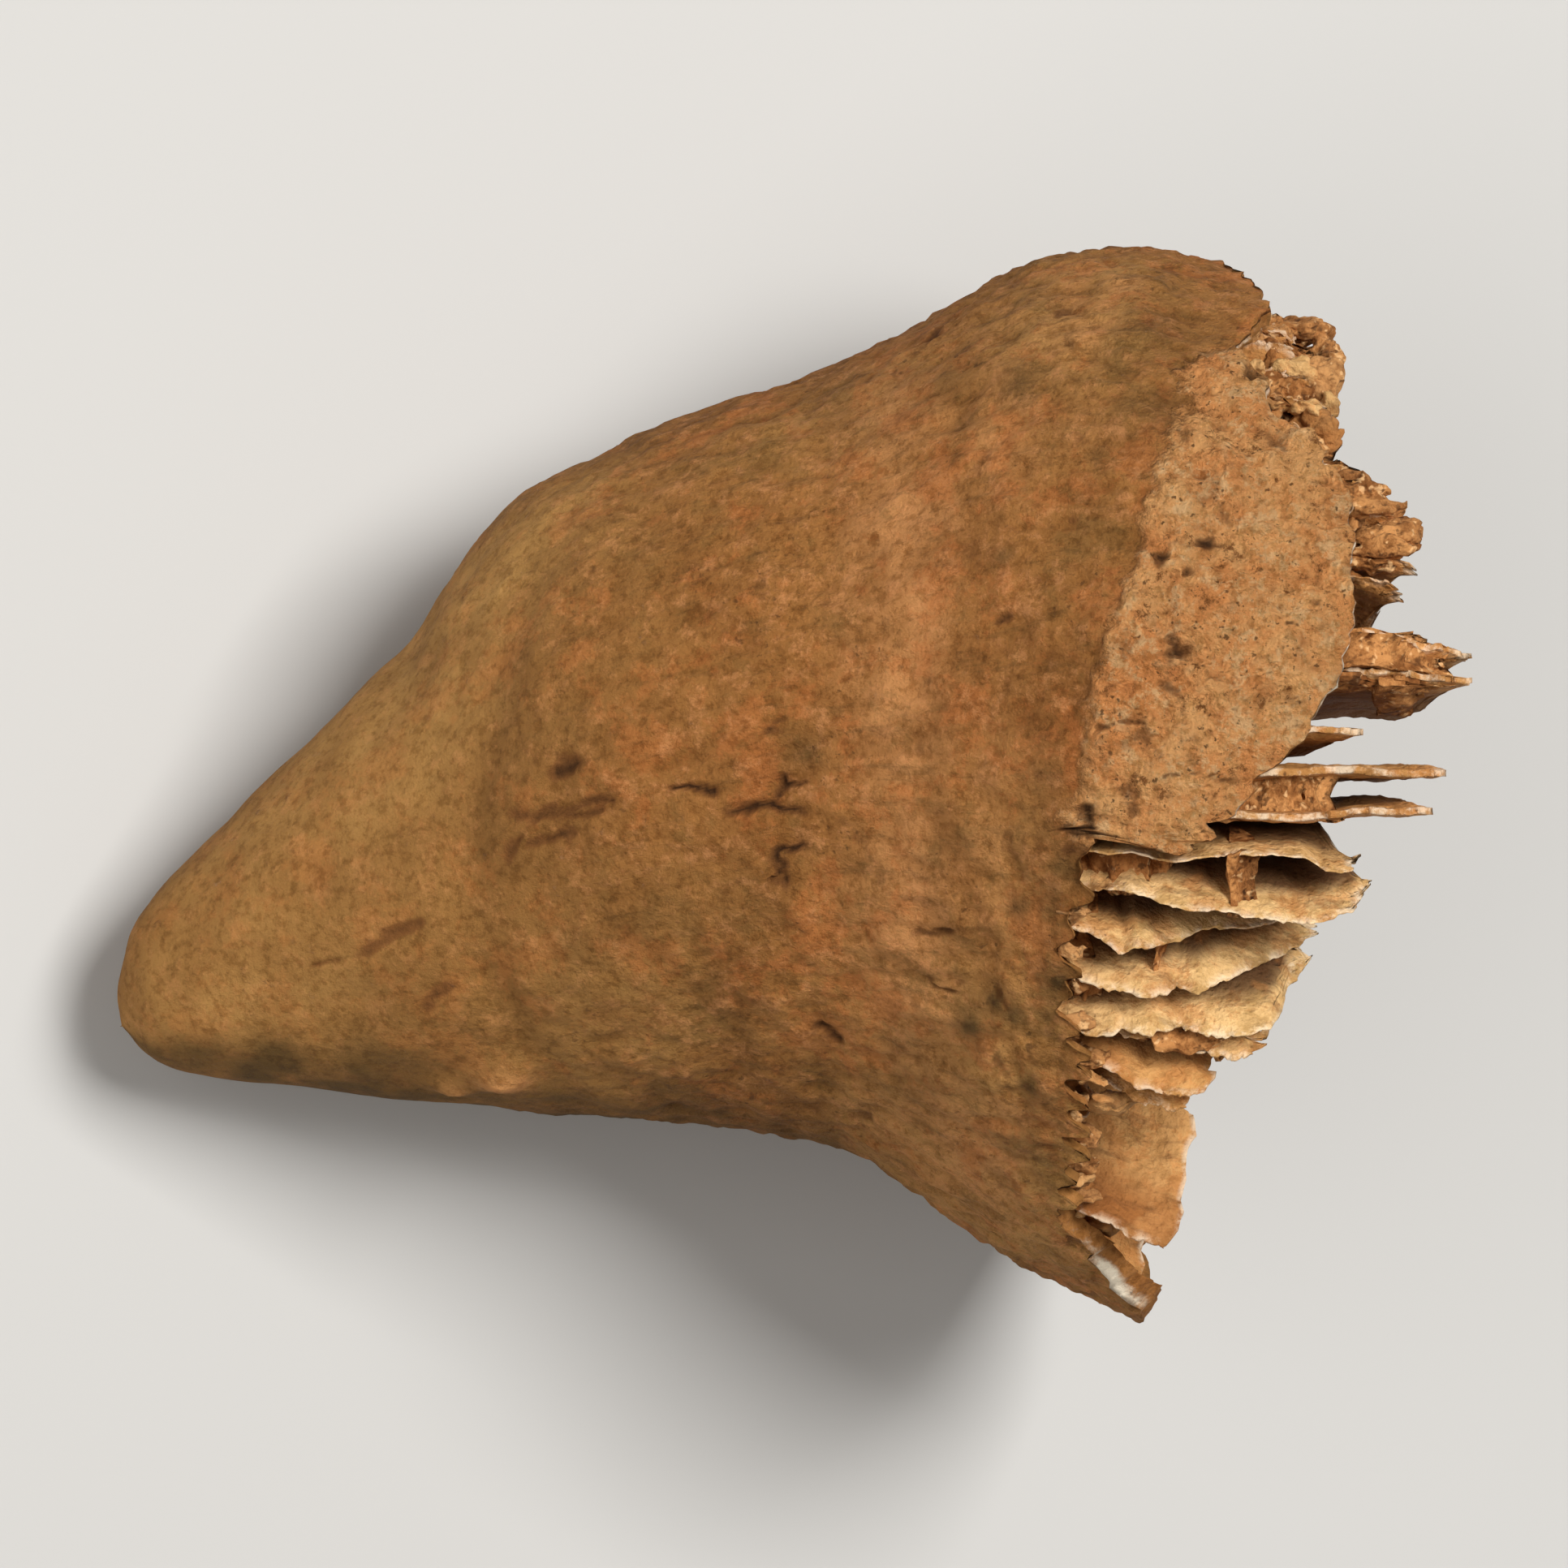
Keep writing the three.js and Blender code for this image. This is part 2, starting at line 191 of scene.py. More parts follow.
# Cracks and pits of the side that faces up: [p, q] along each, its half width and its depth.
CRACKS = [
    ([(16.9, 0.3), (17.6, 0.66)], 0.22, 0.25),
    ([(15.92, -1.4), (17.2, -1.31), (18.48, -1.22)], 0.15, 0.22),
    ([(15.13, -1.4), (16.96, -1.07), (18.79, -0.7)], 0.13, 0.2),
    ([(14.91, -2.84), (15.31, -2.32), (16.29, -2.13), (17.26, -2.01)], 0.15, 0.2),
    ([(24.9, -3.0), (25.1, -3.25)], 0.22, 0.3),
    ([(20.92, -0.4), (21.62, -0.24), (22.45, -0.49)], 0.12, 0.3),
    ([(23.24, -1.28), (24.46, -1.01), (24.98, -0.4), (25.1, -0.09)], 0.13, 0.4),
    ([(24.98, -0.24), (25.68, -0.09)], 0.11, 0.3), ([(24.46, -1.01), (25.68, -1.25)], 0.1, 0.3),
    ([(24.77, 1.83), (25.19, 2.2)], 0.14, 0.3),
    ([(24.67, -3.6), (24.64, -3.11), (24.98, -2.75), (25.68, -2.53)], 0.14, 0.35),
    ([(24.83, -3.42), (25.35, -4.03)], 0.16, 0.3),
    ([(29.95, -5.8), (30.62, -5.61), (31.29, -5.64)], 0.09, 0.2),
    ([(30.47, -7.32), (30.77, -7.63), (31.08, -8.11)], 0.1, 0.25),
    ([(26.5, -9.24), (27.11, -9.76)], 0.12, 0.25), ([(28.1, -12.4), (28.15, -12.6)], 0.14, 0.25),
    ([(33.0, 5.9), (33.1, 6.0)], 0.13, 0.25), ([(33.5, 5.4), (33.55, 5.45)], 0.1, 0.2),
    ([(30.8, -1.2), (30.85, -1.25)], 0.1, 0.2),
    ([(9.5, -6.59), (10.64, -5.67), (11.56, -5.37)], 0.15, 0.18),
    ([(7.6, -7.0), (8.5, -6.9)], 0.1, 0.15), ([(11.96, -8.54), (12.47, -7.81)], 0.2, 0.2),
    ([(30.3, 16.3), (30.8, 16.5)], 0.18, 0.3), ([(42.4, 14.75), (42.6, 14.7)], 0.2, 0.6),
    ([(40.5, 8.54), (40.7, 8.6)], 0.2, 0.4), ([(38.8, 8.05), (38.9, 8.1)], 0.14, 0.3),
    ([(39.3, 4.7), (39.4, 4.9)], 0.26, 0.4), ([(39.75, 7.3), (39.85, 7.4)], 0.14, 0.3),
    ([(36.5, 1.83), (37.33, 2.04), (38.2, 2.14)], 0.07, 0.2),
    ([(39.0, 0.1), (40.4, 0.2), (41.5, -0.1)], 0.05, 0.2),
    ([(36.05, -1.1), (36.2, -1.5)], 0.16, 0.4), ([(35.35, -1.9), (36.6, -2.0)], 0.13, 0.4),
]
# A blister in the crust: [p, q, half length, half width, height].
BLISTER = (37.27, 4.39, 0.7, 1.0, 0.16)
CRACK_REACH = 3.0


def crack_mask(points):
    """How far into a crack or pit each point lies, from 0 to 1, and how deep that makes it."""
    where = smooth(points[:, 0], 14, 30) * (0.6 + 0.5 * noise(points, 5.0, 16))
    pits = smooth(noise(points, 1.1, 15) + 0.25 * noise(points, 0.4, 17), 0.46, 0.7) * where
    mask, depth = 0.5 * pits, 0.13 * pits
    wobble = np.stack([noise(points, 0.8, 11), noise(points, 0.8, 12)], axis=-1) * 0.2
    flat = points[:, :2] + wobble
    facing = points[:, 2] > 0
    for line, width, deep in CRACKS:
        line = np.array(line)
        near = facing & (np.abs(flat - line.mean(axis=0)).max(axis=1) < CRACK_REACH)
        nearest = np.full(near.sum(), np.inf)
        for start, end in zip(line[:-1], line[1:]):
            span, away = end - start, flat[near] - start
            t = np.clip(away @ span / (span @ span), 0, 1)
            nearest = np.minimum(nearest, np.linalg.norm(away - t[:, None] * span, axis=1))
        ragged = 1 + 1.0 * noise(points[near], 0.9, 13) + 0.9 * noise(points[near], 0.35, 14)
        within = bump_at(nearest, width * 1.2 * np.maximum(ragged, 0.05))
        mask[near] = np.maximum(mask[near], within * min(1, deep / 0.3))
        depth[near] = np.maximum(depth[near], within * deep * 0.8)
    return mask, depth


def crust_mask(angle, reach):
    """Where the granular crust covers the wall, next to the rim."""
    edge = 36.0 + 0.085 * angle
    facing = smooth(angle, -10, -6) * (1 - smooth(angle, 50, 58))
    return facing * smooth(reach, edge - 0.8, edge + 0.8)


def relief(angle, points):
    """How far the weathered surface stands out from the smooth horn, with two masks: where the
    crust is, and how far the finest relief is raised or, under 0, sunk."""
    angle = turned(angle)
    side = np.where(np.abs(angle) < 90, np.sin(np.radians(angle)) ** 2, 1.0)
    p, radius = points[:, 0], np.maximum(np.linalg.norm(points[:, 1:], axis=1), 4)
    height = np.zeros(len(points))
    for place, wave, width in RING_WAVES:
        height += wave * bump_at(p - place - RING_SAG * side, width) * (1 - 0.7 * side)
    for lump_angle, place, far, size in LUMPS:
        away = np.radians(turned(angle - lump_angle)) * 0.9 * radius
        height += far * bump_at(np.hypot(away, p - place), size)
    drawn_out = np.stack([p / 7, np.radians(angle) * radius, points[:, 2] * 0], axis=-1)
    fine = smooth(p, 8, 24)
    height += 0.15 * rough(points, 4.0, 2, 21)
    bumps, grooves = rough(points, 1.4, 3, 22), rough(drawn_out, 0.5, 2, 24)
    height += (0.03 + 0.14 * fine) * bumps
    height += (0.04 + 0.05 * smooth(p, 24, 30)) * fine * grooves
    ragged = 0.5 * noise(points, 1.6, 26) + 0.35 * noise(points, 0.6, 28)
    crust = crust_mask(angle + 2.5 * noise(points, 2.0, 25), p + ragged)
    knobs, grains = rough(points, 1.4, 2, 27), rough(points, 0.55, 2, 29)
    raised = (1 - crust) * 0.6 * fine * (bumps + grooves) + crust * (0.3 * knobs + grains)
    place, across, length, width, far = BLISTER
    ring = np.hypot((p - place) / length, (points[:, 1] - across) / width)
    ring = np.where(points[:, 2] > 0, ring, 9.0)
    height += far * (bump_at(ring - 0.8, 0.22) - 0.8 * bump_at(ring - 1.15, 0.14))
    return height + crust * (0.22 + 0.26 * knobs + 0.2 * grains), crust, raised


COLUMNS = 410
LOWER_ROWS, UPPER_ROWS = 130, 66
RIM_ROWS, INNER_ROWS, FLOOR_ROWS = 6, 12, 18
UPPER_START, PAST_RIM = 0.72, 1.004

# More columns where the wall faces up.
dense = np.linspace(-180, 180, 3601)
density = 0.35 + np.maximum(np.cos(np.radians(dense)), 0) ** 0.7
spread = np.concatenate([[0], np.cumsum((density[1:] + density[:-1]) / 2)])
angles = np.interp(np.linspace(0, 1, COLUMNS, endpoint=False), spread / spread[-1], dense)

rim_turn = np.radians(angles)
rim_place = np.stack([np.cos(rim_turn) * 19, np.sin(rim_turn) * 19, angles * 0], axis=-1)
rim = np.interp(angles, RIM[:, 0], RIM[:, 1])
rim += 0.3 * noise(rim_place, 1.1, 31) + 0.22 * noise(rim_place, 0.45, 32)
for place, reach in RIM_STUBS:
    rim += reach * bump_at(angles - place, 1.1)
rim_growth = growth_at(rim, angles, 1.0)

rows = [np.full(COLUMNS, growth) for growth in UPPER_START * np.linspace(0.004, 1, LOWER_ROWS)]
for t in [*np.linspace(0, 1, UPPER_ROWS)[1:], PAST_RIM]:
    rows.append(UPPER_START + (rim_growth - UPPER_START) * t / PAST_RIM)
growths = np.array(rows)
grid_angles = np.broadcast_to(angles, growths.shape)
outside = horn_point(growths, grid_angles, 1.0)
step = 1e-3
along = horn_point(growths + step, grid_angles, 1.0) - horn_point(growths - step, grid_angles, 1.0)
around = horn_point(growths, grid_angles + 1, 1.0) - horn_point(growths, grid_angles - 1, 1.0)
outward = np.cross(along, around)
outward /= np.linalg.norm(outward, axis=-1, keepdims=True)
outer_points, outer_angles = outside.reshape(-1, 3), grid_angles.ravel()
height, crust, raised = relief(outer_angles, outer_points)
hollow, crack_depth = crack_mask(outer_points)
outer_points = outer_points + outward.reshape(-1, 3) * (height - crack_depth)[:, None]

WALL_SHARE_BELOW = 0.055
# The bowl of the calice: its floor and edge in p, and the shares at which they lie.
CUP_FLOOR, CUP_EDGE = 33.0, 42.5
CUP_FLOOR_SHARE, CUP_EDGE_SHARE = 0.3, 0.88


def floor_reach(share):
    """The floor between the septa: low in the middle, with a knob there, and under the rim."""
    knob = 1.4 * (1 - smooth(share, 0, CUP_FLOOR_SHARE))
    rise = (CUP_EDGE - CUP_FLOOR) * smooth(share, CUP_FLOOR_SHARE, CUP_EDGE_SHARE)
    middle = CUP_FLOOR + rise + knob - 0.9
    return np.minimum(middle + (33.4 - middle) * smooth(share, 0.1, 0.9), rim - 0.5)


rim_share = 0.022 + 0.034 * bump_at(angles + 74, 14) + 0.006 * noise(rim_place, 2.0, 34)
oblique = 1.1 * bump_at(angles + 72, 13)
inside_rows = []
for t in (0.06, 0.25, 0.5, 0.75, 0.95, 1.0):
    inside_rows.append((1 - rim_share * t, rim + oblique * t + 0.04 * np.sin(np.pi * t)))
rim_inside, floor_edge = rim + oblique, floor_reach(1 - WALL_SHARE_BELOW)
for t in np.linspace(0, 1, INNER_ROWS + 1)[1:]:
    share = 1 - rim_share + (rim_share - WALL_SHARE_BELOW) * t
    inside_rows.append((share, rim_inside + (floor_edge - rim_inside) * t**0.8))
for share in np.linspace(1 - WALL_SHARE_BELOW, 0.01, FLOOR_ROWS + 1)[1:]:
    inside_rows.append((np.full(COLUMNS, share), floor_reach(share)))
shares, reaches = (np.array(part) for part in zip(*inside_rows))
inner_points = point_at_reach(reaches, np.broadcast_to(angles, shares.shape), shares).reshape(-1, 3)
swell = 0.35 * noise(inner_points, 2.6, 37) * smooth(0.9 - shares.ravel(), 0, 0.1)
inner_points = inner_points + swell[:, None] * np.array([1.0, 0, 0])
for size, far, seed in ((1.0, 0.08, 330), (0.35, 0.06, 360)):
    inner_points = shaken(inner_points, size, far, seed)

tip = horn_point(np.array([0.0]), np.array([0.0]), np.array([0.0]))
floor_middle = inner_points[-COLUMNS:].mean(axis=0, keepdims=True)
wall_points = np.concatenate([tip, outer_points, inner_points, floor_middle])
wall_rows = len(growths) + len(shares)


def wrapped_quads(rows, columns, first):
    """Quads of a grid of points whose columns close into a ring."""
    i = np.arange(rows - 1)[:, None] * columns
    j = np.arange(columns)[None, :]
    k = (j + 1) % columns
    quads = np.stack([i + j, i + columns + j, i + columns + k, i + k], axis=-1)
    return quads.reshape(-1, 4) + first


def to_row_frame(points):
    """Points of the growth frame in the part's own frame, in metres."""
    return (np.asarray(points, float) @ GROWTH_AXES + GROWTH_ORIGIN) * 0.001


def make_piece(name, points, faces, masks, material):
    """A smooth mesh from points in the growth frame and lists of faces, with its masks."""
    mesh = bpy.data.meshes.new(name)
    sizes = np.concatenate([np.full(len(part), part.shape[1]) for part in faces])
    corners = np.concatenate([part.ravel() for part in faces]).astype(np.int32)
    mesh.vertices.add(len(points))
    placed = to_row_frame(points)
    placed[:, 2] = np.maximum(placed[:, 2], 0.0)
    mesh.vertices.foreach_set("co", placed.astype(np.float32).ravel())
    mesh.loops.add(len(corners))
    mesh.loops.foreach_set("vertex_index", corners)
    mesh.polygons.add(len(sizes))
    starts = np.concatenate([[0], np.cumsum(sizes)[:-1]]).astype(np.int32)
    mesh.polygons.foreach_set("loop_start", starts)
    mesh.update(calc_edges=True)
    mesh.validate()
    mesh.shade_smooth()
    for mask, values in masks.items():
        kind, field = ("FLOAT", "value") if values.ndim == 1 else ("FLOAT_VECTOR", "vector")
        layer = mesh.attributes.new(mask, kind, "POINT")
        layer.data.foreach_set(field, values.astype(np.float32).ravel())
    mesh.materials.append(material)
    piece = bpy.data.objects.new(name, mesh)
    bpy.context.scene.collection.objects.link(piece)
    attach(piece, "root")
    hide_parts("horn_coral")
    return piece


def add_node(tree, kind, **settings):
    """A node with its settings. A name that starts with in_ sets that input, or links to it."""
    node = tree.nodes.new(kind)
    for name, value in settings.items():
        if not name.startswith("in_"):
            setattr(node, name, value)
    for name, value in settings.items():
        if not name.startswith("in_"):
            continue
        key = name[3:]
        socket = node.inputs[int(key)] if key.isdigit() else node.inputs[key.replace("_", " ")]
        if isinstance(value, bpy.types.NodeSocket):
            tree.links.new(value, socket)
        else:
            socket.default_value = value
    return node


def colour(red, green, blue):
    """A colour from its screen values, 0 to 255."""
    screen = np.array([red, green, blue]) / 255
    return (*np.where(screen <= 0.04045, screen / 12.92, ((screen + 0.055) / 1.055) ** 2.4), 1.0)


def mix(tree, factor, under, over, kind="MIX"):
    """The colour of over laid on under."""
    return add_node(
        tree, "ShaderNodeMix", data_type="RGBA", blend_type=kind, in_0=factor, in_6=under, in_7=over
    ).outputs[2]


def reckon(tree, operation, a, b, clamp=False):
    node = add_node(tree, "ShaderNodeMath", operation=operation, use_clamp=clamp, in_0=a, in_1=b)
    return node.outputs[0]


def plus(tree, a, b, clamp=False):
    return reckon(tree, "ADD", a, b, clamp)


def times(tree, a, b):
    return reckon(tree, "MULTIPLY", a, b)


def ramp(tree, value, low, high):
    """0 where value is under low, 1 where it is over high."""
    return add_node(
        tree, "ShaderNodeMapRange", interpolation_type="SMOOTHSTEP", in_Value=value,
        in_From_Min=low, in_From_Max=high,
    ).outputs[0]


def masked(tree, name):
    return add_node(tree, "ShaderNodeAttribute", attribute_name=name).outputs["Fac"]


def noise_node(tree, place, scale, detail, roughness):
    return add_node(
        tree, "ShaderNodeTexNoise", in_Vector=place, in_Scale=scale, in_Detail=detail,
        in_Roughness=roughness,
    ).outputs[0]


def new_group(name, inputs, output):
    """An empty node group with named sockets. Returns it with its inputs and its output."""
    group = bpy.data.node_groups.new(name, "ShaderNodeTree")
    for socket, kind in inputs:
        group.interface.new_socket(socket, in_out="INPUT", socket_type=kind)
    group.interface.new_socket(output, in_out="OUTPUT", socket_type="NodeSocketFloat")
    given = group.nodes.new("NodeGroupInput").outputs
    return group, given, group.nodes.new("NodeGroupOutput").inputs[output]


# Speckles: scattered grains and pinholes of about one size. A higher threshold leaves fewer.
speckles, given, out = new_group(
    "speckles",
    [("Position", "NodeSocketVector"), ("Size mm", "NodeSocketFloat"),
     ("Threshold", "NodeSocketFloat")],
    "Mask",
)
per_metre = reckon(speckles, "DIVIDE", 1000.0, given["Size mm"])
islands = noise_node(speckles, given["Position"], per_metre, 2.0, 0.6)
full = plus(speckles, 0.09, given["Threshold"])
speckles.links.new(ramp(speckles, islands, given["Threshold"], full), out)

# Fine grain: the height of a sandy, pitted stone surface, in steps of a tenth of a millimetre.
fine_grain, given, out = new_group(
    "fine grain", [("Position", "NodeSocketVector"), ("Pits", "NodeSocketFloat")], "Height",
)
sand = noise_node(fine_grain, given["Position"], 5500.0, 5.0, 0.65)
pits = add_node(fine_grain, "ShaderNodeTexVoronoi", in_Vector=given["Position"], in_Scale=2600.0)
pit_depth = reckon(fine_grain, "SUBTRACT", 1.0, ramp(fine_grain, pits.outputs[0], 0.05, 0.45))
pit_depth = times(fine_grain, pit_depth, given["Pits"])
fine_grain.links.new(reckon(fine_grain, "SUBTRACT", sand, pit_depth), out)


def new_material(name):
    """A material with its node tree, Principled shader and position in metres."""
    material = bpy.data.materials.new(name)
    material.use_nodes = True
    tree = material.node_tree
    position = tree.nodes.new("ShaderNodeTexCoord").outputs["Object"]
    return material, tree, tree.nodes["Principled BSDF"], position


def speckle_mask(tree, position, size, threshold):
    return add_node(
        tree, "ShaderNodeGroup", node_tree=speckles, in_Position=position, in_Size_mm=size,
        in_Threshold=threshold,
    ).outputs[0]


def grain_height(tree, position, pits):
    return add_node(
        tree, "ShaderNodeGroup", node_tree=fine_grain, in_Position=position, in_Pits=pits
    ).outputs[0]


def clouds(tree, position, size, detail=4.0, roughness=0.6):
    """Noise whose largest features have that size, in millimetres."""
    return noise_node(tree, position, 1000.0 / size, detail, roughness)


def growth_lines(tree, detail, roughness):
    """Noise drawn out along the lines in which the coral grew."""
    grown = add_node(tree, "ShaderNodeAttribute", attribute_name="grown").outputs["Vector"]
    return noise_node(tree, grown, 1.0, detail, roughness)


def moved(tree, position, shift):
    node = add_node(tree, "ShaderNodeVectorMath", operation="ADD", in_0=position, in_1=shift)
    return node.outputs[0]


def lay(tree, under, over, mask, strength):
    """The colour of over laid on under where the mask shows, at most at that strength."""
    return mix(tree, times(tree, mask, strength), under, over)


def shaded(tree, under, lit, shade):
    """The colour times shade, but for where it is lit."""
    return mix(tree, lit, mix(tree, 1.0, under, shade, "MULTIPLY"), under)


def finish_stone(tree, shader, paint, fine, roughness, specular, height, depth, strength=1.0):
    """Join a dull stone's colour, roughness and bump, depth metres high, to its shader."""
    tree.links.new(paint, shader.inputs["Base Color"])
    rough_share = plus(tree, roughness[0], times(tree, fine, roughness[1]))
    tree.links.new(rough_share, shader.inputs["Roughness"])
    shader.inputs["Specular IOR Level"].default_value = specular
    bump = add_node(
        tree, "ShaderNodeBump", in_Height=height, in_Distance=depth, in_Strength=strength
    )
    tree.links.new(bump.outputs[0], shader.inputs["Normal"])


TAN, TAN_DARK, TIP_TAN = colour(178, 120, 62), colour(154, 99, 48), colour(144, 100, 51)
RUST, OLIVE, OLIVE_DARK = colour(208, 124, 66), colour(140, 104, 54), colour(92, 69, 35)
PALE, PALE_OLIVE, ROSY = colour(228, 160, 98), colour(200, 152, 86), colour(226, 156, 98)
CRUST, CRUST_DARK, CRUST_BROWN = colour(255, 188, 118), colour(242, 160, 92), colour(150, 94, 48)
CRUMB, SPECK, SHADE = colour(252, 202, 142), colour(84, 54, 28), (0.7, 0.65, 0.55, 1)
INNER, INNER_DARK, BROKEN = colour(194, 132, 72), colour(156, 100, 50), colour(252, 238, 212)
CRACK_EDGE, HOLLOW = colour(116, 72, 36), colour(40, 22, 9)


def wall_material():
    material, tree, shader, position = new_material("weathered_wall")
    worn = plus(tree, 0.35, masked(tree, "worn"), clamp=True)
    fine = clouds(tree, position, 0.45, 6.0, 0.7)
    hue = clouds(tree, moved(tree, position, (0.3, 0.1, 0)), 3.0, 10.0, 0.76)
    grit = clouds(tree, moved(tree, position, (0.1, 0.4, 0)), 1.1, 8.0, 0.8)
    crumbs = clouds(tree, position, 0.7, 5.0, 0.7)
    raised = masked(tree, "raised")

    # The stained skin, from the ground colours up.
    skin = mix(tree, ramp(tree, clouds(tree, position, 7.0), 0.36, 0.64), TAN_DARK, TAN)
    skin = mix(tree, ramp(tree, masked(tree, "worn"), 0.0, 0.7), TIP_TAN, skin)
    skin = lay(tree, skin, PALE_OLIVE, masked(tree, "damp"), 0.8)
    # Rubbed pale patches, with painted highlight on the lumps near the tip and on the band near p
    # 29.5.
    skin = lay(tree, skin, PALE, masked(tree, "scuff_and_highlight"), 0.8)
    skin = lay(tree, skin, RUST, times(tree, ramp(tree, hue, 0.51, 0.6), worn), 0.5)
    skin = lay(tree, skin, OLIVE, times(tree, ramp(tree, hue, 0.46, 0.38), worn), 0.45)
    grooves = times(tree, ramp(tree, growth_lines(tree, 6.0, 0.75), 0.52, 0.64), worn)
    skin = lay(tree, skin, OLIVE_DARK, grooves, 0.35)
    dull = mix(tree, 1.0, skin, SHADE, "MULTIPLY")
    skin = mix(tree, times(tree, ramp(tree, grit, 0.45, 0.37), worn), skin, dull)
    skin = lay(tree, skin, ROSY, times(tree, ramp(tree, grit, 0.5, 0.65), worn), 0.65)
    # Painted shade: the wall is darker where its fine relief sinks.
    skin = lay(tree, skin, dull, ramp(tree, raised, 0.0, -0.8), 0.6)
    # Dark stains, with painted shade on the underside of the narrow end.
    skin = lay(tree, skin, OLIVE_DARK, masked(tree, "stain"), 0.9)

    # The crust over it, with a crumbling edge.
    ragged = plus(tree, clouds(tree, position, 2.2, 6.0, 0.7), crumbs)
    ragged = plus(tree, masked(tree, "crust"), reckon(tree, "SUBTRACT", ragged, 1.0))
    crust_here = ramp(tree, ragged, 0.2, 0.75)
    crusty = mix(tree, ramp(tree, hue, 0.4, 0.6), CRUST_DARK, CRUST)
    crusty = mix(tree, ramp(tree, grit, 0.45, 0.36), crusty, CRUST_BROWN)
    crusty = lay(tree, crusty, CRUMB, ramp(tree, grit, 0.52, 0.6), 0.8)
    # Painted shade in the crust's hollows and painted highlight on its raised grains.
    crusty = lay(tree, crusty, CRUST_BROWN, ramp(tree, raised, -0.1, -0.9), 0.4)
    crusty = lay(tree, crusty, CRUMB, ramp(tree, raised, 0.2, 1.0), 0.4)
    skin = mix(tree, crust_here, skin, crusty)
    skin = shaded(tree, skin, ramp(tree, fine, 0.36, 0.54), SHADE)
    groups = times(tree, ramp(tree, clouds(tree, position, 4.5), 0.46, 0.6), worn)
    where = reckon(tree, "MAXIMUM", times(tree, groups, 0.6), times(tree, crust_here, 0.8))
    for size, threshold in ((0.3, 0.63), (0.75, 0.67)):
        dark = times(tree, speckle_mask(tree, position, size, threshold), where)
        skin = mix(tree, dark, skin, SPECK)

    # The inner side, fresh breaks and cracks.
    lining = ramp(tree, clouds(tree, position, 2.4, 8.0, 0.7), 0.4, 0.62)
    lining = mix(tree, lining, INNER_DARK, INNER)
    lining = shaded(tree, lining, ramp(tree, fine, 0.4, 0.56), SHADE)
    skin = mix(tree, masked(tree, "inner"), skin, lining)
    scatter = reckon(tree, "SUBTRACT", crumbs, 0.5)
    fresh = plus(tree, masked(tree, "fracture"), scatter)
    skin = lay(tree, skin, BROKEN, ramp(tree, fresh, 0.15, 0.65), 0.9)
    crack = plus(tree, masked(tree, "hollow"), scatter)
    skin = lay(tree, skin, CRACK_EDGE, ramp(tree, crack, 0.02, 0.5), 0.75)
    skin = lay(tree, skin, HOLLOW, ramp(tree, crack, 0.4, 1.05), 0.85)

    height = grain_height(tree, position, plus(tree, 0.25, times(tree, crust_here, 0.3)))
    height = plus(tree, height, times(tree, plus(tree, grit, crumbs), 1.6))
    height = times(tree, height, plus(tree, worn, crust_here))
    finish_stone(tree, shader, skin, fine, (0.62, 0.45), 0.15, height, 0.00022)
    return material


# Patches of the wall: [angle, p, size across, size along, strength]. Dark damp stains first,
# with painted shade along the underside of the narrow end: (-70, 7.0), (-92, 14.0) and (-54, 5.5).
DARK_STAINS_AND_SHADE = [
    (-70, 7.0, 3.4, 6.5, 0.9), (-92, 14.0, 6.0, 16.0, 1.0), (-22, 34.9, 6.0, 0.7, 0.6),
    (-44, 34.6, 4.0, 0.9, 0.4), (-34, 32.0, 0.8, 0.6, 0.7), (-10, 30.5, 1.2, 1.2, 0.35),
    (-46, 30.0, 2.4, 2.0, 0.3), (24, 33.2, 0.5, 0.4, 0.7), (-32, 21.0, 4.5, 3.6, 0.25),
    (-20, 23.5, 2.0, 2.0, 0.3), (-26, 17.5, 3.0, 1.6, 0.25), (70, 33.0, 5.0, 4.0, 0.12),
    (60, 28.0, 3.0, 3.0, 0.3), (22, 36.0, 7.0, 1.6, 0.15), (45, 38.5, 4.0, 1.8, 0.35),
    (-30, 33.5, 0.7, 0.7, 0.6), (-12, 35.2, 1.0, 0.8, 0.6), (-150, 20.0, 14.0, 16.0, 0.3),
    (140, 26.0, 10.0, 8.0, 0.3), (56, 39.0, 4.0, 2.0, 0.35), (-54, 5.5, 4.4, 6.0, 1.0),
    (-68, 15.0, 2.2, 7.0, 0.5), (-66, 22.0, 2.0, 6.0, 0.35), (-17, 33.7, 0.5, 0.5, 1.0),
    (-25, 35.1, 0.5, 0.4, 1.0), (-12.6, 35.5, 0.5, 0.5, 0.9), (-21, 35.2, 0.6, 0.4, 0.9),
    (-29, 32.9, 0.4, 0.4, 0.9), (-39, 34.2, 0.6, 0.6, 0.6), (-50, 33.6, 0.7, 1.2, 0.5),
    (-57, 32.6, 0.7, 1.4, 0.5), (49, 33.8, 1.2, 0.7, 0.6), (57, 31.4, 1.0, 0.8, 0.5),
    (36, 36.6, 0.5, 0.5, 0.5), (2, 25.8, 0.7, 0.9, 0.4), (-48, 26.4, 1.6, 0.9, 0.4),
]
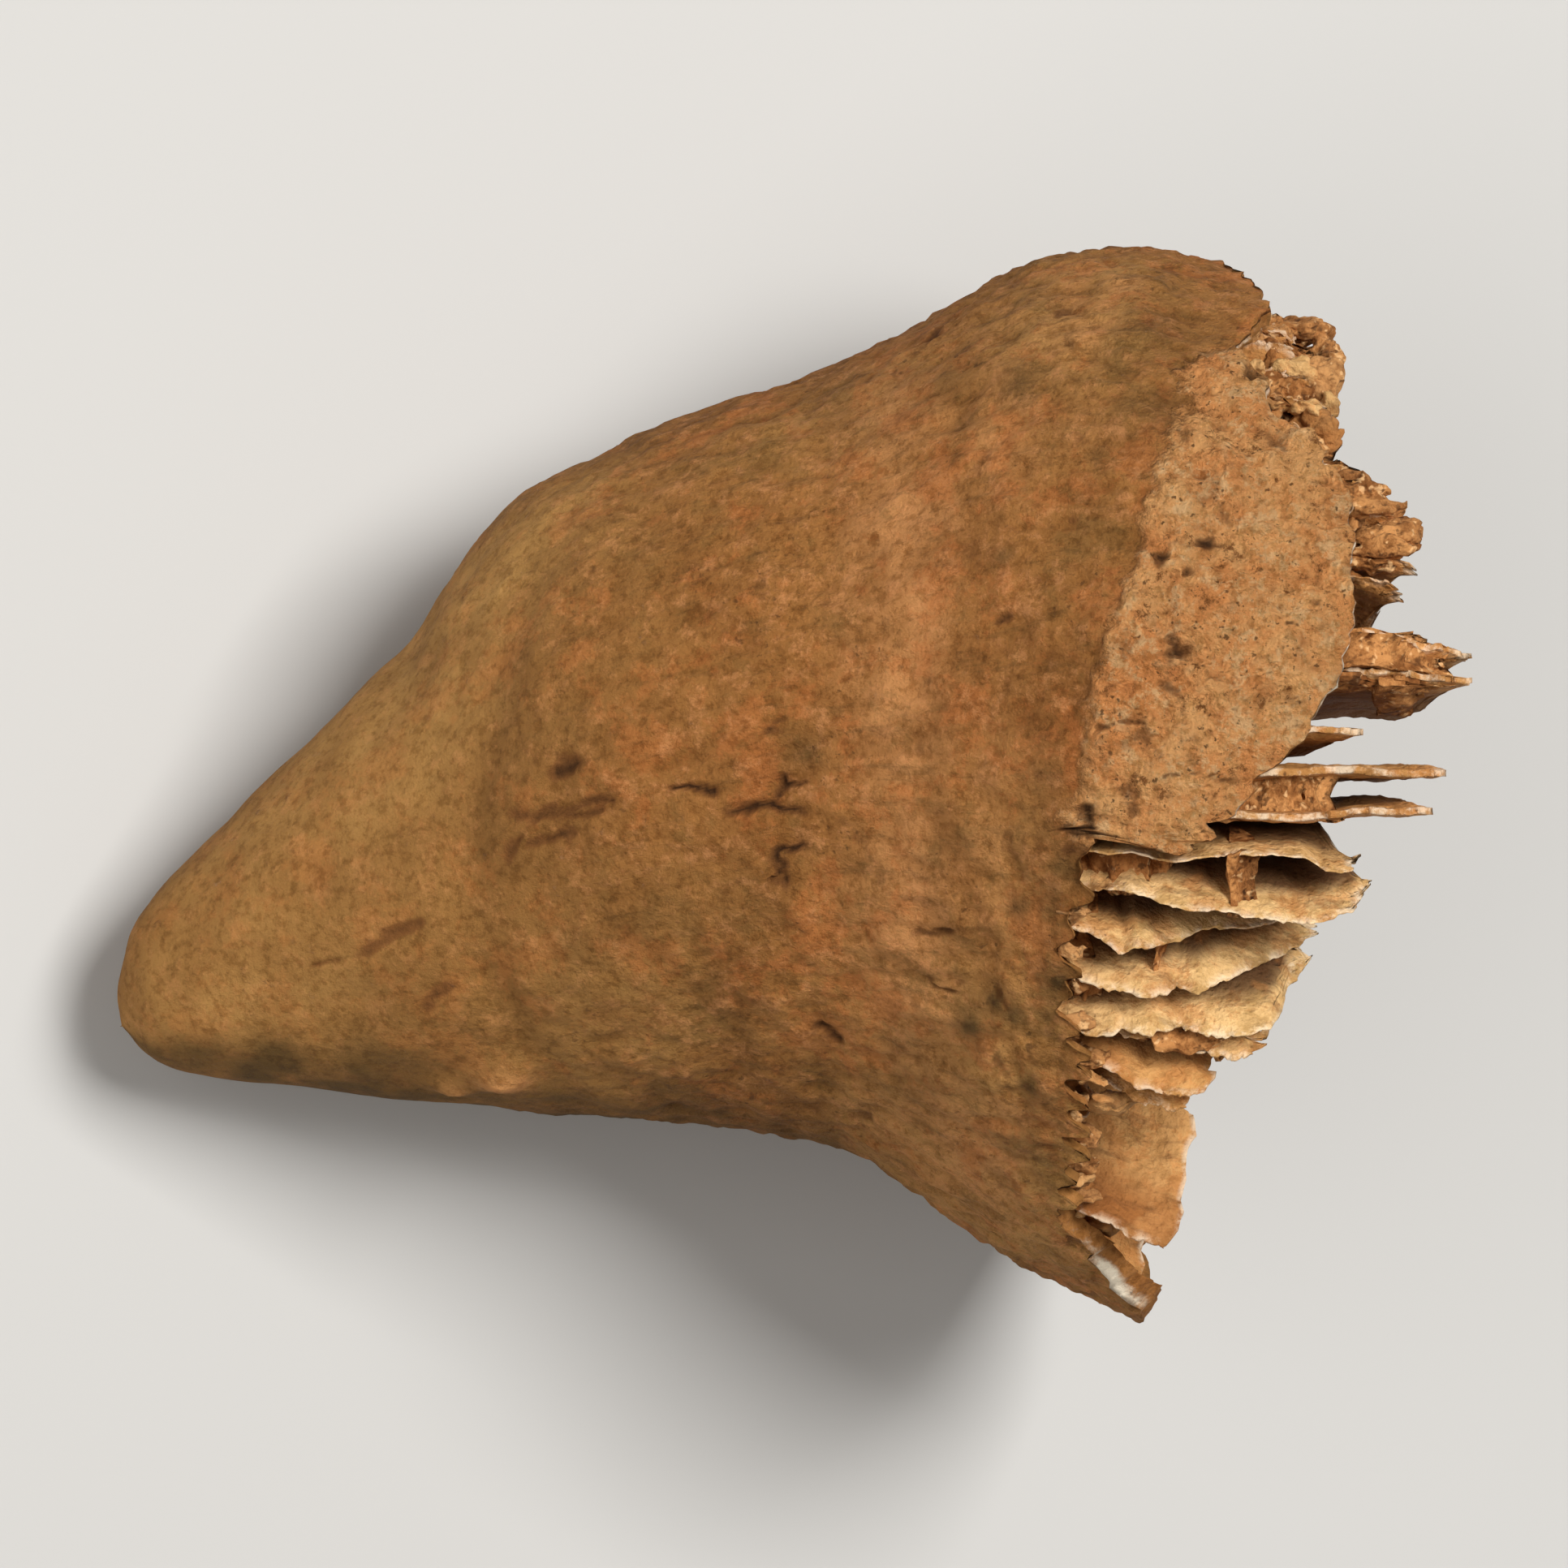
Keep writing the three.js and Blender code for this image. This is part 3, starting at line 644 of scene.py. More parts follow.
# Ground rubbed pale, with painted highlight on the tops of the lumps near the tip, (-56, 14.5)
# and (-62, 12.9), and in part on the broad band near p 29.5 where the wall swells.
PALE_SCUFFS_AND_HIGHLIGHTS = [
    (66, 37.6, 1.2, 0.9, 0.9), (56, 36.3, 1.0, 1.2, 0.7), (14, 37.0, 0.9, 0.35, 0.9),
    (44, 33.0, 3.5, 1.5, 0.5), (-56, 14.5, 1.0, 1.0, 0.9), (-62, 12.9, 0.7, 0.6, 0.8),
    (30, 29.4, 11.0, 1.9, 0.95), (-20, 29.6, 10.0, 2.0, 0.75), (-55, 31.5, 6.0, 3.0, 0.85),
    (-14, 32.5, 5.0, 2.2, 0.4), (40, 36.0, 1.6, 0.8, 0.3), (61, 35.4, 3.5, 2.2, 0.45),
]
# Greener ground, where the clay stain is thin.
DAMP_AREAS = [
    (60, 12.0, 5.0, 9.0, 0.6), (-60, 33.0, 8.0, 6.0, 1.0), (-10, 4.0, 9.0, 7.0, 0.4),
    (64, 36.0, 7.0, 4.0, 0.7), (-45, 20.0, 5.0, 6.0, 0.4), (60, 27.0, 3.0, 6.0, 0.5),
    (-20, 33.5, 6.0, 1.4, 0.4), (-40, 33.0, 5.5, 3.0, 0.7),
]


def patches_at(patches, seed):
    """How far each outer point lies in one of the patches, from 0 to 1, with ragged edges."""
    radius = np.maximum(np.linalg.norm(outer_points[:, 1:], axis=1), 4)
    mask = np.zeros(len(outer_points))
    for place, reach, across, length, strength in patches:
        away = np.radians(turned(outer_angles - place)) * radius
        near = bump_at(away, across) * bump_at(outer_points[:, 0] - reach, length)
        mask = np.maximum(mask, strength * near)
    return np.clip(mask * (1 + 0.8 * rough(outer_points, 2.2, 3, seed)), 0, 1)


# Fresh breaks show along the upper rim and in one patch on the lower lip.
bare = bump_at(angles - 25, 30) * (0.55 + 0.9 * noise(rim_place, 2.4, 35))
bare = np.clip(bare + bump_at(angles + 71.5, 6) * (0.85 + 0.7 * noise(rim_place, 0.9, 36)), 0, 1)
outer_break, inner_break = np.zeros(growths.shape), np.zeros(shares.shape)
outer_break[-1], inner_break[:3] = 0.4 * bare, bare * np.array([0.8, 1, 0.4])[:, None]
lining = np.ones(shares.shape)
lining[:RIM_ROWS] = 0.9 * bump_at(angles + 72, 16)
worn = smooth(outer_points[:, 0], 10, 30) * (0.8 + 0.4 * noise(outer_points, 5.0, 44))
grown_p, grown_turn = outer_points[:, 0] / 2.6, np.radians(outer_angles) * 12 / 0.5
grown = np.stack([grown_p, grown_turn, np.full(len(grown_p), 3.0)], axis=-1)
outer_masks = {
    "crust": crust, "hollow": hollow, "stain": patches_at(DARK_STAINS_AND_SHADE, 41),
    "scuff_and_highlight": patches_at(PALE_SCUFFS_AND_HIGHLIGHTS, 42), "damp": patches_at(DAMP_AREAS, 43),
    "worn": np.clip(worn, 0, 1), "raised": raised,
}
inner_count = len(inner_points) + 1
masks = {
    name: np.concatenate([[0], values, np.zeros(inner_count)])
    for name, values in outer_masks.items()
}
masks["fracture"] = np.concatenate([[0], outer_break.ravel(), inner_break.ravel(), [0]])
masks["inner"] = np.concatenate([np.zeros(len(outer_points) + 1), lining.ravel(), [1]])
masks["grown"] = np.concatenate([[[0, 0, 0]], grown, np.zeros((inner_count, 3))])

first_ring = 1 + np.arange(COLUMNS)
last_ring = first_ring + (wall_rows - 1) * COLUMNS
floor_hub = np.full(COLUMNS, len(wall_points) - 1)
tip_fan = np.stack([np.zeros(COLUMNS, int), first_ring, np.roll(first_ring, -1)], -1)
floor_fan = np.stack([floor_hub, np.roll(last_ring, -1), last_ring], -1)
wall_quads = wrapped_quads(wall_rows, COLUMNS, 1)
make_piece("wall", wall_points, [tip_fan, floor_fan, wall_quads], masks, wall_material())

# ----------------------------------------
# Septa: the plates that stand inside the calice, from the wall in towards the axis.
# Thin sheets of calcite grown one from each groove of the wall, major and minor in turn, and one
# with it and the floor. The side that faces up has lost its wall, so its plates end in breaks.
# ----------------------------------------

# Plates of the broken side lean over, so that their upper faces show.
PLATE_LEAN, LARGEST_OFFSET = 18.0, 5.5
# How far in the minor plates reach, as a share, and the p of the buried foot of every plate.
MINOR_END, BASE = 0.6, 32.4
# The radius that turns shares into millimetres, and a p that no plate reaches.
RADIUS, NEVER = 19.5, 99.0

# Outer edges of the plates that show: [p, angle, share] from the base to the tip.
EDGES = {
    -13: [(33, -59.3, 0.975), (38.2, -59.3, 0.977), (39.5, -59.3, 0.983)],
    -9: [(33, -38.5, 0.96), (37.8, -38.5, 0.937), (40.3, -38.5, 0.937), (40.5, -38.5, 0.915)],
    -8: [(33, -35.3, 0.96), (36.7, -35.3, 0.947), (37.9, -35.3, 0.963), (40.8, -35.3, 0.958),
        (41.1, -35.3, 0.94), (41.2, -35.3, 0.88)],
    -7: [(33, -33.0, 0.96), (37.9, -31.8, 0.92), (39.0, -31.8, 0.911), (40.2, -31.8, 0.929),
        (41.6, -31.8, 0.958), (42.8, -31.8, 0.927), (42.9, -31.8, 0.87)],
    -6: [(33, -30.5, 0.97), (36.1, -30.6, 0.985), (36.9, -30.2, 0.985), (38.5, -28.3, 0.965),
        (39.6, -28.3, 0.914), (39.8, -28.3, 0.948), (42.9, -28.3, 0.949), (43.3, -28.3, 0.904),
        (43.6, -28.3, 0.81), (44.6, -28.3, 0.721)],
    -5: [(33, -24.8, 0.97), (35.1, -23.8, 0.98), (36.0, -24.9, 0.985), (37.1, -25.0, 0.985),
        (39.0, -23.3, 0.97), (39.5, -23.3, 0.92), (40.2, -23.3, 0.943), (42.5, -23.3, 0.816),
        (43.6, -23.3, 0.764), (44.8, -23.3, 0.718)],
    -4: [(33, -20.0, 0.97), (35.2, -18.8, 0.98), (37.1, -19.9, 0.985), (37.4, -20.4, 0.99),
        (37.9, -18.9, 0.985), (39.3, -18.3, 0.91), (40.5, -18.3, 0.84), (43.0, -18.3, 0.77),
        (44.4, -18.3, 0.72)],
    -3: [(33, -14.6, 0.97), (36.2, -14.5, 0.985), (39.0, -12.6, 0.98), (40.5, -12.9, 0.985),
        (43.9, -14.2, 0.985), (45.8, -13.9, 0.96), (46.7, -12.9, 0.86)],
    -2: [(33, -9.2, 0.97), (36.3, -9.2, 0.985), (38.4, -7.9, 0.97), (41.8, -6.9, 0.97),
        (44.0, -7.2, 0.97), (44.7, -8.7, 0.98), (45.9, -8.9, 0.975), (46.1, -8.0, 0.93)],
    -1: [(33, -3.2, 0.97), (41.6, -2.4, 0.97), (43.5, -2.8, 0.98), (45.2, -3.1, 0.975),
        (46.2, -2.7, 0.965), (48.8, -2.4, 0.955)],
    0: [(33, 2.4, 0.97), (42.0, 2.3, 0.97), (46.0, 2.1, 0.97), (49.3, 1.9, 0.95)],
    1: [(33, 7.2, 0.97), (43.9, 7.0, 0.975), (46.3, 7.0, 0.955)],
    2: [(33, 13.0, 0.97), (45.5, 13.9, 0.985), (47.5, 13.6, 0.985), (50.2, 13.5, 0.985)],
    3: [(33, 17.5, 0.97), (46.0, 17.9, 0.985), (47.6, 17.2, 0.985), (50.2, 16.8, 0.93)],
    4: [(33, 23.6, 0.97), (46.0, 24.6, 0.985), (47.0, 24.2, 0.985), (47.9, 23.6, 0.96)],
    5: [(33, 28.0, 0.97), (46.0, 29.4, 0.985), (46.9, 28.6, 0.985), (48.2, 27.8, 0.96)],
    6: [(33, 33.0, 0.97), (46.0, 34.2, 0.985), (47.4, 33.4, 0.97), (48.3, 32.6, 0.94)],
    7: [(33, 36.8, 0.97), (46.0, 36.8, 0.985), (47.2, 36.2, 0.965)],
}
# The p of the other tips, where they don't follow the rim.
TIPS = {
    -25: 37.6, -24: 37.4, -23: 37.6, -22: 37.4, -21: 37.5, -20: 37.2, -19: 37.1, -18: 37.0,
    -17: 36.6, -16: 36.2, -15: 35.9, -14: 35.8, -12: 35.9, -11: 36.3, -10: 36.7, 8: 45.9, 9: 45.2,
    10: 45.3, 11: 44.6, 12: 44.4, 13: 44.2, 14: 44.2, 15: 43.9,
}
# How far the broken edges are worn back, where it isn't the usual 0.45.
WEAR = {-13: 0.15, -1: 0.3, 0: 0.25, 1: 0.3}
# Plates thicker than the rest, by how many times.
THICKER = {-1: 1.5, 0: 1.6, 1: 1.4, 2: 1.3, 3: 1.3}
# Inner edges that do not follow the bowl of the calice: [p, share].
INNERS = {
    1: [(42.0, 0.86), (43.5, 0.91), (46.3, 0.93)],
    2: [(45.2, 0.89), (45.9, 0.886), (47.0, 0.8), (47.6, 0.7), (48.2, 0.67), (49.3, 0.84),
        (50.2, 0.93)],
    3: [(45.2, 0.89), (50.2, 0.9)],
}
# How clean and pale the faces of a plate are.
CLEAN = {-13: 0.2, -7: 0.5, -6: 1.0, -5: 1.0, -4: 1.0, -3: 1.0, -2: 0.7}
# The p past which the outer corner of a plate is freshly broken and white.
WHITE_CORNERS = {-3: 45.7, -6: 43.4}
# Uneven free ends: [place across the plate from its inner edge, p].
ENDS = {
    -13: [(0.0, 40.4), (0.18, 40.5), (0.24, 40.2), (0.45, 40.2), (0.72, 39.9), (1.0, 39.5)],
    -9: [(0.0, 40.0), (0.7, 40.5), (1.0, 40.3)],
    -7: [(0.0, 42.2), (0.6, 42.9), (1.0, 42.8)],
}


def same(value):
    """The function that gives that value at each place."""
    return lambda places: np.full(len(places), value)


def read(line, column):
    """The function that reads one column of a line by its first."""
    return lambda reach: np.interp(reach, line[:, 0], line[:, column])


def plain_inner_share(reach, number):
    """Where the plate stops on its inner side, which gives the calice its bowl shape."""
    climb = np.clip((reach - CUP_FLOOR) / (CUP_EDGE - CUP_FLOOR), 0, 1)
    rise = 0.5 - np.sin(np.arcsin(1 - 2 * climb) / 3)
    share = CUP_FLOOR_SHARE + (CUP_EDGE_SHARE - CUP_FLOOR_SHARE) * rise
    if number % 2:
        share = np.maximum(share, MINOR_END)
    if number not in INNERS:
        return share
    line = np.array(INNERS[number])
    return np.where(reach > line[0, 0], read(line, 1)(reach), share)


def chips(place, wear, seed):
    """How far a broken edge is worn back at each place along it, in millimetres."""
    place = np.stack([place, np.zeros_like(place), np.zeros_like(place)], -1)
    broad = 0.15 + 0.8 * noise(place, 2.1, seed) + 0.9 * np.abs(noise(place, 1.3, seed + 1))
    fine = 0.7 * np.maximum(noise(place, 0.5, seed + 2), 0) + 0.35 * noise(place, 0.22, seed + 4)
    steps = 0.45 * np.round(2.5 * noise(place, 1.0, seed + 5)) / 1.5
    return wear * np.maximum(broad + fine + steps, -0.1)


def slab(
    start, end, inner, outer, angle, half, counts, seed, wear=0.4, bow=0.0, arch=0.0, dish=0.0,
    thin=0.25, rust=0.0, clean=0.0, white=NEVER, grit=(),
):
    """A closed sheet or block in the calice, as points, quads and masks.

    start and end give p at each place across it, from its inner to its outer side. inner and
    outer give the shares at each p, angle the turn, and half the half thickness at each share.
    """
    rows, columns, layers = counts
    across = (1 - np.cos(np.pi * np.linspace(0, 1, columns + 1))) / 2
    layer = np.linspace(-1, 1, layers + 1)
    along = 1 - (1 - np.linspace(0, 1, rows + 1)) ** 1.3
    loop = np.concatenate([
        np.stack([across, np.full(columns + 1, -1.0)], -1),
        np.stack([np.ones(layers - 1), layer[1:-1]], -1),
        np.stack([across[::-1], np.full(columns + 1, 1.0)], -1),
        np.stack([np.zeros(layers - 1), layer[-2:0:-1]], -1),
    ])
    cap = np.stack(np.meshgrid(across[1:-1], layer[1:-1], indexing="ij"), -1).reshape(-1, 2)
    u, w = np.concatenate([np.tile(loop, (rows + 1, 1)), cap, cap]).T
    v = np.concatenate([np.repeat(along, len(loop)), np.ones(len(cap)), np.zeros(len(cap))])

    low, high = start(u), end(u)
    sunk = dish * (1 - w**2)
    high_here = high - sunk - wear * smooth(u, 0.8, 1.0)
    reach = low + (high_here - chips(u * 12, wear, seed) * smooth(high - low, 0.5, 2) - low) * v
    loose = smooth(v * (high - low), 1.5, 4.0)
    inside = inner(reach) + chips(reach + 40, wear * 0.5, seed) * loose / RADIUS
    outside = outer(reach) - (chips(reach, wear, seed + 3) * loose + sunk) / RADIUS
    share = inside + (outside - inside) * u
    reach = reach + arch * (1 - w**2)
    turn = angle(reach)
    leaning = smooth(turn, -45, -33) * (1 - smooth(turn, -12, -2))
    slope = np.tan(np.radians(PLATE_LEAN * leaning))
    offset = np.degrees(slope * (outside - share) / share)
    turn = turn + np.minimum(offset, LARGEST_OFFSET) * smooth(share, 0.35, 0.7)
    centre = point_at_reach(reach, turn, share)
    wide = (outside - inside) * RADIUS
    free = np.minimum(np.minimum((1 - u) * wide, u * wide), (1 - v) * (high - low))
    taper = thin + (1 - thin) * smooth(free, 0, 0.6)
    side = np.stack([np.zeros(len(u)), np.cos(np.radians(turn)), -np.sin(np.radians(turn))], -1)
    bend = bow * (noise(centre, 6.0, seed + 6) + 0.4 * noise(centre, 1.8, seed + 7))
    points = centre + side * (bend * loose + w * half(share) * taper)[:, None]
    for octave, (size, far) in enumerate(grit):
        points = shaken(points, size, far, seed + 10 * octave + 8)

    size = len(loop)
    quads = [wrapped_quads(rows + 1, size, 0)]
    for row, first in ((rows, size * (rows + 1)), (0, size * (rows + 1) + len(cap))):
        index = np.zeros((columns + 1, layers + 1), int)
        ring = row * size
        index[:, 0] = ring + np.arange(columns + 1)
        index[-1, 1:-1] = ring + columns + 1 + np.arange(layers - 1)
        index[:, -1] = ring + columns + layers + np.arange(columns + 1)[::-1]
        index[0, 1:-1] = ring + 2 * columns + layers + 1 + np.arange(layers - 1)[::-1]
        index[1:-1, 1:-1] = first + np.arange(len(cap)).reshape(columns - 1, layers - 1)
        lid = np.stack([index[:-1, :-1], index[:-1, 1:], index[1:, 1:], index[1:, :-1]], -1)
        lid = lid.reshape(-1, 4)
        quads.append(lid if row else lid[:, ::-1])
    edge = 1 - smooth(np.minimum((1 - u) * wide, (1 - v) * 10), 0.03, 0.3)
    corner = smooth(reach - white, 0, 0.5) * smooth(u, 0.5, 0.8)
    masks = {
        "fracture": np.maximum(0.6 * edge * loose, corner),
        "clean": np.full(len(u), clean),
        "grown": np.stack([reach / 2.2, share * RADIUS / 0.6, turn / 3], -1),
        "low": 1 - smooth(reach, 33.5, 39.0),
        # deep is painted shade: darker from a plate's outer edge inward, under the plate above,
        # most on the leaning plates and none on the rusty one.
        "deep": (1 - rust) * (0.6 + 0.4 * leaning) * smooth(outside - share, 0.02, 0.13),
        "rust": rust * smooth(share, 0.8, 0.93),
    }
    return points, np.concatenate(quads), masks


def make_slabs(name, slabs, material):
    """One piece of many slabs."""
    starts = np.cumsum([0] + [len(points) for points, _, _ in slabs])
    points = np.concatenate([points for points, _, _ in slabs])
    quads = np.concatenate([quads + first for (_, quads, _), first in zip(slabs, starts)])
    masks = {mask: np.concatenate([part[2][mask] for part in slabs]) for mask in slabs[0][2]}
    make_piece(name, points, [quads], masks, material)


def septum_line(number):
    """The outer edge of one plate: [p, angle, share] from its base to its tip."""
    if number in EDGES:
        return np.array(EDGES[number])
    angle = turned(FIRST_SEPTUM_ANGLE + SEPTUM_PITCH * number)
    rim_here = np.interp(angle, RIM[:, 0], RIM[:, 1])
    uneven = 0.5 * np.sin(2.1 * number) + 0.4 * np.sin(0.9 * number)
    tip = TIPS.get(number, rim_here - 0.2 + uneven)
    return np.array([[33, angle, 0.975], [tip - 0.5, angle, 0.975], [tip, angle, 0.955]])


def septum(number, counts):
    line = septum_line(number)
    tip, outer = line[-1, 0], read(line, 2)
    ends = np.array(ENDS.get(number, [(0.0, tip - 1.0), (0.4, tip), (1.0, tip - 0.1)]))

    def inner(reach):
        width = 0.06 + 0.34 * smooth(tip - reach, 0, 2.6)
        return np.minimum(plain_inner_share(reach, number), outer(reach) - width)

    return slab(
        same(BASE), read(ends, 1), inner, outer, read(line, 1),
        lambda share: THICKER.get(number, 1.0) * (0.11 + 0.03 * share), counts,
        2000 + 20 * number, wear=WEAR.get(number, 0.45), bow=0.25, rust=float(number == -13),
        thin=0.55 if number in THICKER else 0.25, clean=CLEAN.get(number, 0.0),
        white=WHITE_CORNERS.get(number, NEVER), grit=[(1.1, 0.07), (0.4, 0.05)],
    )


FACE, FACE_DARK, CLEAN_FACE = colour(216, 160, 96), colour(192, 134, 74), colour(246, 204, 140)
RUSTY_FACE, SHADE_AND_STREAK_BROWN, DARK_RUST = colour(204, 130, 66), colour(84, 50, 24), colour(160, 100, 48)
CLAY, CLAY_PALE = colour(186, 120, 60), colour(200, 140, 82)


def septa_material():
    material, tree, shader, position = new_material("septum_calcite")
    fine = clouds(tree, position, 0.9, 6.0, 0.7)
    face = mix(tree, ramp(tree, clouds(tree, position, 4.0), 0.38, 0.62), FACE_DARK, FACE)
    face = lay(tree, face, CLEAN_FACE, masked(tree, "clean"), 0.8)
    rusty = ramp(tree, clouds(tree, position, 2.0, 9.0, 0.78), 0.48, 0.58)
    face = lay(tree, face, RUSTY_FACE, rusty, 0.5)
    dusty = clouds(tree, moved(tree, position, (0.2, 0.3, 0)), 1.4, 9.0, 0.8)
    face = lay(tree, face, CLAY, ramp(tree, dusty, 0.46, 0.38), 0.45)
    # Painted shade: the faces darken inward from their outer edges, under the plate above.
    deep = ramp(tree, plus(tree, masked(tree, "deep"), times(tree, fine, 0.5)), 0.4, 1.3)
    face = lay(tree, face, SHADE_AND_STREAK_BROWN, deep, 0.95)
    face = lay(tree, face, CLAY, masked(tree, "low"), 0.4)
    face = lay(tree, face, CLAY, speckle_mask(tree, position, 1.6, 0.58), 0.35)
    blotches = ramp(tree, clouds(tree, position, 2.6, 6.0), 0.4, 0.6)
    blotches = times(tree, masked(tree, "rust"), plus(tree, 0.55, blotches, clamp=True))
    face = mix(tree, blotches, face, DARK_RUST)
    face = lay(tree, face, CLAY_PALE, times(tree, masked(tree, "rust"), rusty), 0.3)
    face = lay(tree, face, SHADE_AND_STREAK_BROWN, ramp(tree, growth_lines(tree, 5.0, 0.65), 0.5, 0.66), 0.4)
    face = shaded(tree, face, ramp(tree, fine, 0.34, 0.6), SHADE)
    edge = times(tree, masked(tree, "fracture"), ramp(tree, fine, 0.42, 0.6))
    face = lay(tree, face, BROKEN, edge, 0.8)
    face = lay(tree, face, SPECK, speckle_mask(tree, position, 0.5, 0.68), 0.7)
    height = plus(tree, grain_height(tree, position, 0.4), times(tree, fine, 1.5))
    finish_stone(tree, shader, face, fine, (0.5, 0.5), 0.25, height, 0.00014, 0.9)
    return material


calcite = septa_material()
for name, numbers, counts in (
    ("septa_broken_side", range(-14, 2), (110, 20, 3)),
    ("septa_upper_side", range(2, 17), (90, 20, 3)),
    ("septa_far_side", range(17, 62), (40, 14, 2)),
):
    make_slabs(name, [septum(number, counts) for number in numbers], calcite)

# ----------------------------------------
# Sediment: clay and fine sand that settled between the septa and set hard.
# Orange-brown and granular. It fills some gaps part way up and leaves others open.
# ----------------------------------------

# Filled stretches: the septum before the gap, p from and to, how far the outer face is sunk in.
FILLED = [
    (-17, BASE, 36.6, 0.03), (-16, BASE, 36.4, 0.02), (-15, BASE, 36.2, 0.015),
    (-14, BASE, 36.1, 0.01), (-13, BASE, 36.4, 0.005), (-12, BASE, 36.2, 0.005),
    (-11, BASE, 36.6, 0.003), (-10, BASE, 36.7, 0.005), (-9, BASE, 37.3, 0.02),
    (-8, BASE, 40.0, 0.045), (-7, BASE, 42.2, 0.02), (-6, BASE, 38.2, 0.05),
    (-5, BASE, 36.6, 0.005), (-4, BASE, 36.1, 0.005), (-3, BASE, 40.2, 0.02),
    (-3, 41.3, 42.7, 0.01), (-5, 38.7, 39.6, 0.03), (-6, 39.2, 41.4, 0.1), (-1, BASE, 45.8, 0.01),
    (2, BASE, 49.6, -0.003), (4, BASE, 46.4, 0.02), (5, BASE, 47.7, 0.004), (6, BASE, 47.8, 0.002),
    (7, BASE, 46.6, 0.01), (8, BASE, 45.6, 0.01), (9, BASE, 44.8, 0.02), (10, BASE, 45.3, 0.01),
    (11, BASE, 44.4, 0.02), (12, BASE, 45.3, 0.005), (13, BASE, 45.0, 0.005),
    (14, BASE, 43.0, 0.01), (20, BASE, 39.4, 0.05), (21, BASE, 39.8, 0.05), (31, BASE, 38.4, 0.05),
    (32, BASE, 38.0, 0.05), (45, BASE, 37.6, 0.04), (46, BASE, 37.0, 0.04),
]
# Clay that clings to one face: the turn, half its thickness, p from and to, shares from and to.
COATS = [
    (12.6, 0.4, 46.6, 48.7, 0.72, 0.97), (12.9, 0.2, 44.0, 49.4, 0.87, 0.98),
    (17.8, 0.2, 44.5, 48.6, 0.88, 0.98), (25.6, 0.3, 45.0, 46.6, 0.8, 0.97),
    (34.8, 0.35, 45.0, 47.6, 0.85, 0.98), (-30.8, 0.25, 38.5, 42.4, 0.8, 0.93),
]
GRIT = [(2.4, 0.16), (0.9, 0.13), (0.4, 0.08)]


def filling(number, start, top, sunk, counts):
    """Clay that fills the gap after a septum."""
    here, there = septum_line(number), septum_line(number + 1)

    def angle(reach):
        turn = read(here, 1)(reach)
        return turn + turned(read(there, 1)(reach) - turn) / 2

    def outer(reach):
        return np.minimum(read(here, 2)(reach), read(there, 2)(reach)) - sunk

    def inner(reach):
        if start > BASE:
            return outer(reach) - 0.12
        bowl = np.maximum(plain_inner_share(reach, number), plain_inner_share(reach, number + 1))
        return np.minimum(bowl + 0.02, outer(reach) - 0.05)

    gap = np.radians(abs(turned(read(there, 1)(top - 1) - read(here, 1)(top - 1))))
    return slab(
        same(start), lambda u: top - 0.9 * (1 - u) ** 2, inner, outer, angle,
        lambda share: RADIUS * share * gap / 2, counts, 5000 + 20 * number + int(start), wear=0.7,
        thin=1.1, dish=0.45 if start == BASE else 0.3, grit=GRIT,
    )


def coat(turn, thick, start, top, low, high, counts):
    """Clay on one face of a septum."""
    return slab(
        lambda u: start + 0.5 * np.abs(u - 0.6), lambda u: top - 0.8 * np.abs(u - 0.7),
        same(low), same(high), same(turn), same(thick), counts, 7000 + int(100 * start), wear=0.7,
        thin=0.4, grit=GRIT,
    )


CLAY_DARK, CLAY_SPECK = colour(154, 98, 50), colour(72, 42, 20)
CHALK, CLAY_SHADE = colour(214, 168, 112), (0.6, 0.54, 0.46, 1)


def sediment_material():
    material, tree, shader, position = new_material("set_clay")
    fine = clouds(tree, position, 0.8, 6.0, 0.75)
    grains = ramp(tree, clouds(tree, position, 1.6, 5.0), 0.36, 0.64)
    grains = mix(tree, grains, CLAY_DARK, CLAY_PALE)
    grains = shaded(tree, grains, ramp(tree, fine, 0.4, 0.56), CLAY_SHADE)
    pale = speckle_mask(tree, moved(tree, position, (0.2, 0, 0)), 0.5, 0.58)
    grains = lay(tree, grains, CRUMB, pale, 0.6)
    for size, threshold in ((0.35, 0.6), (0.9, 0.62)):
        grains = lay(tree, grains, CLAY_SPECK, speckle_mask(tree, position, size, threshold), 0.7)
    chalky = times(tree, masked(tree, "pale"), ramp(tree, fine, 0.3, 0.5))
    grains = mix(tree, chalky, grains, CHALK)
    height = grain_height(tree, position, 0.9)
    finish_stone(tree, shader, grains, fine, (0.7, 0.4), 0.2, height, 0.00012)
    return material


set_clay = sediment_material()
fillings = [filling(*place, (54, 12, 6)) for place in FILLED]
make_slabs("sediment", fillings + [coat(*place, (40, 20, 5)) for place in COATS], set_clay)

# ----------------------------------------
# Cross walls: thin arched plates that join one septum to the next, like the rungs of a ladder.
# The same calcite as the septa, laid down as the animal sealed off the space below it.
# ----------------------------------------

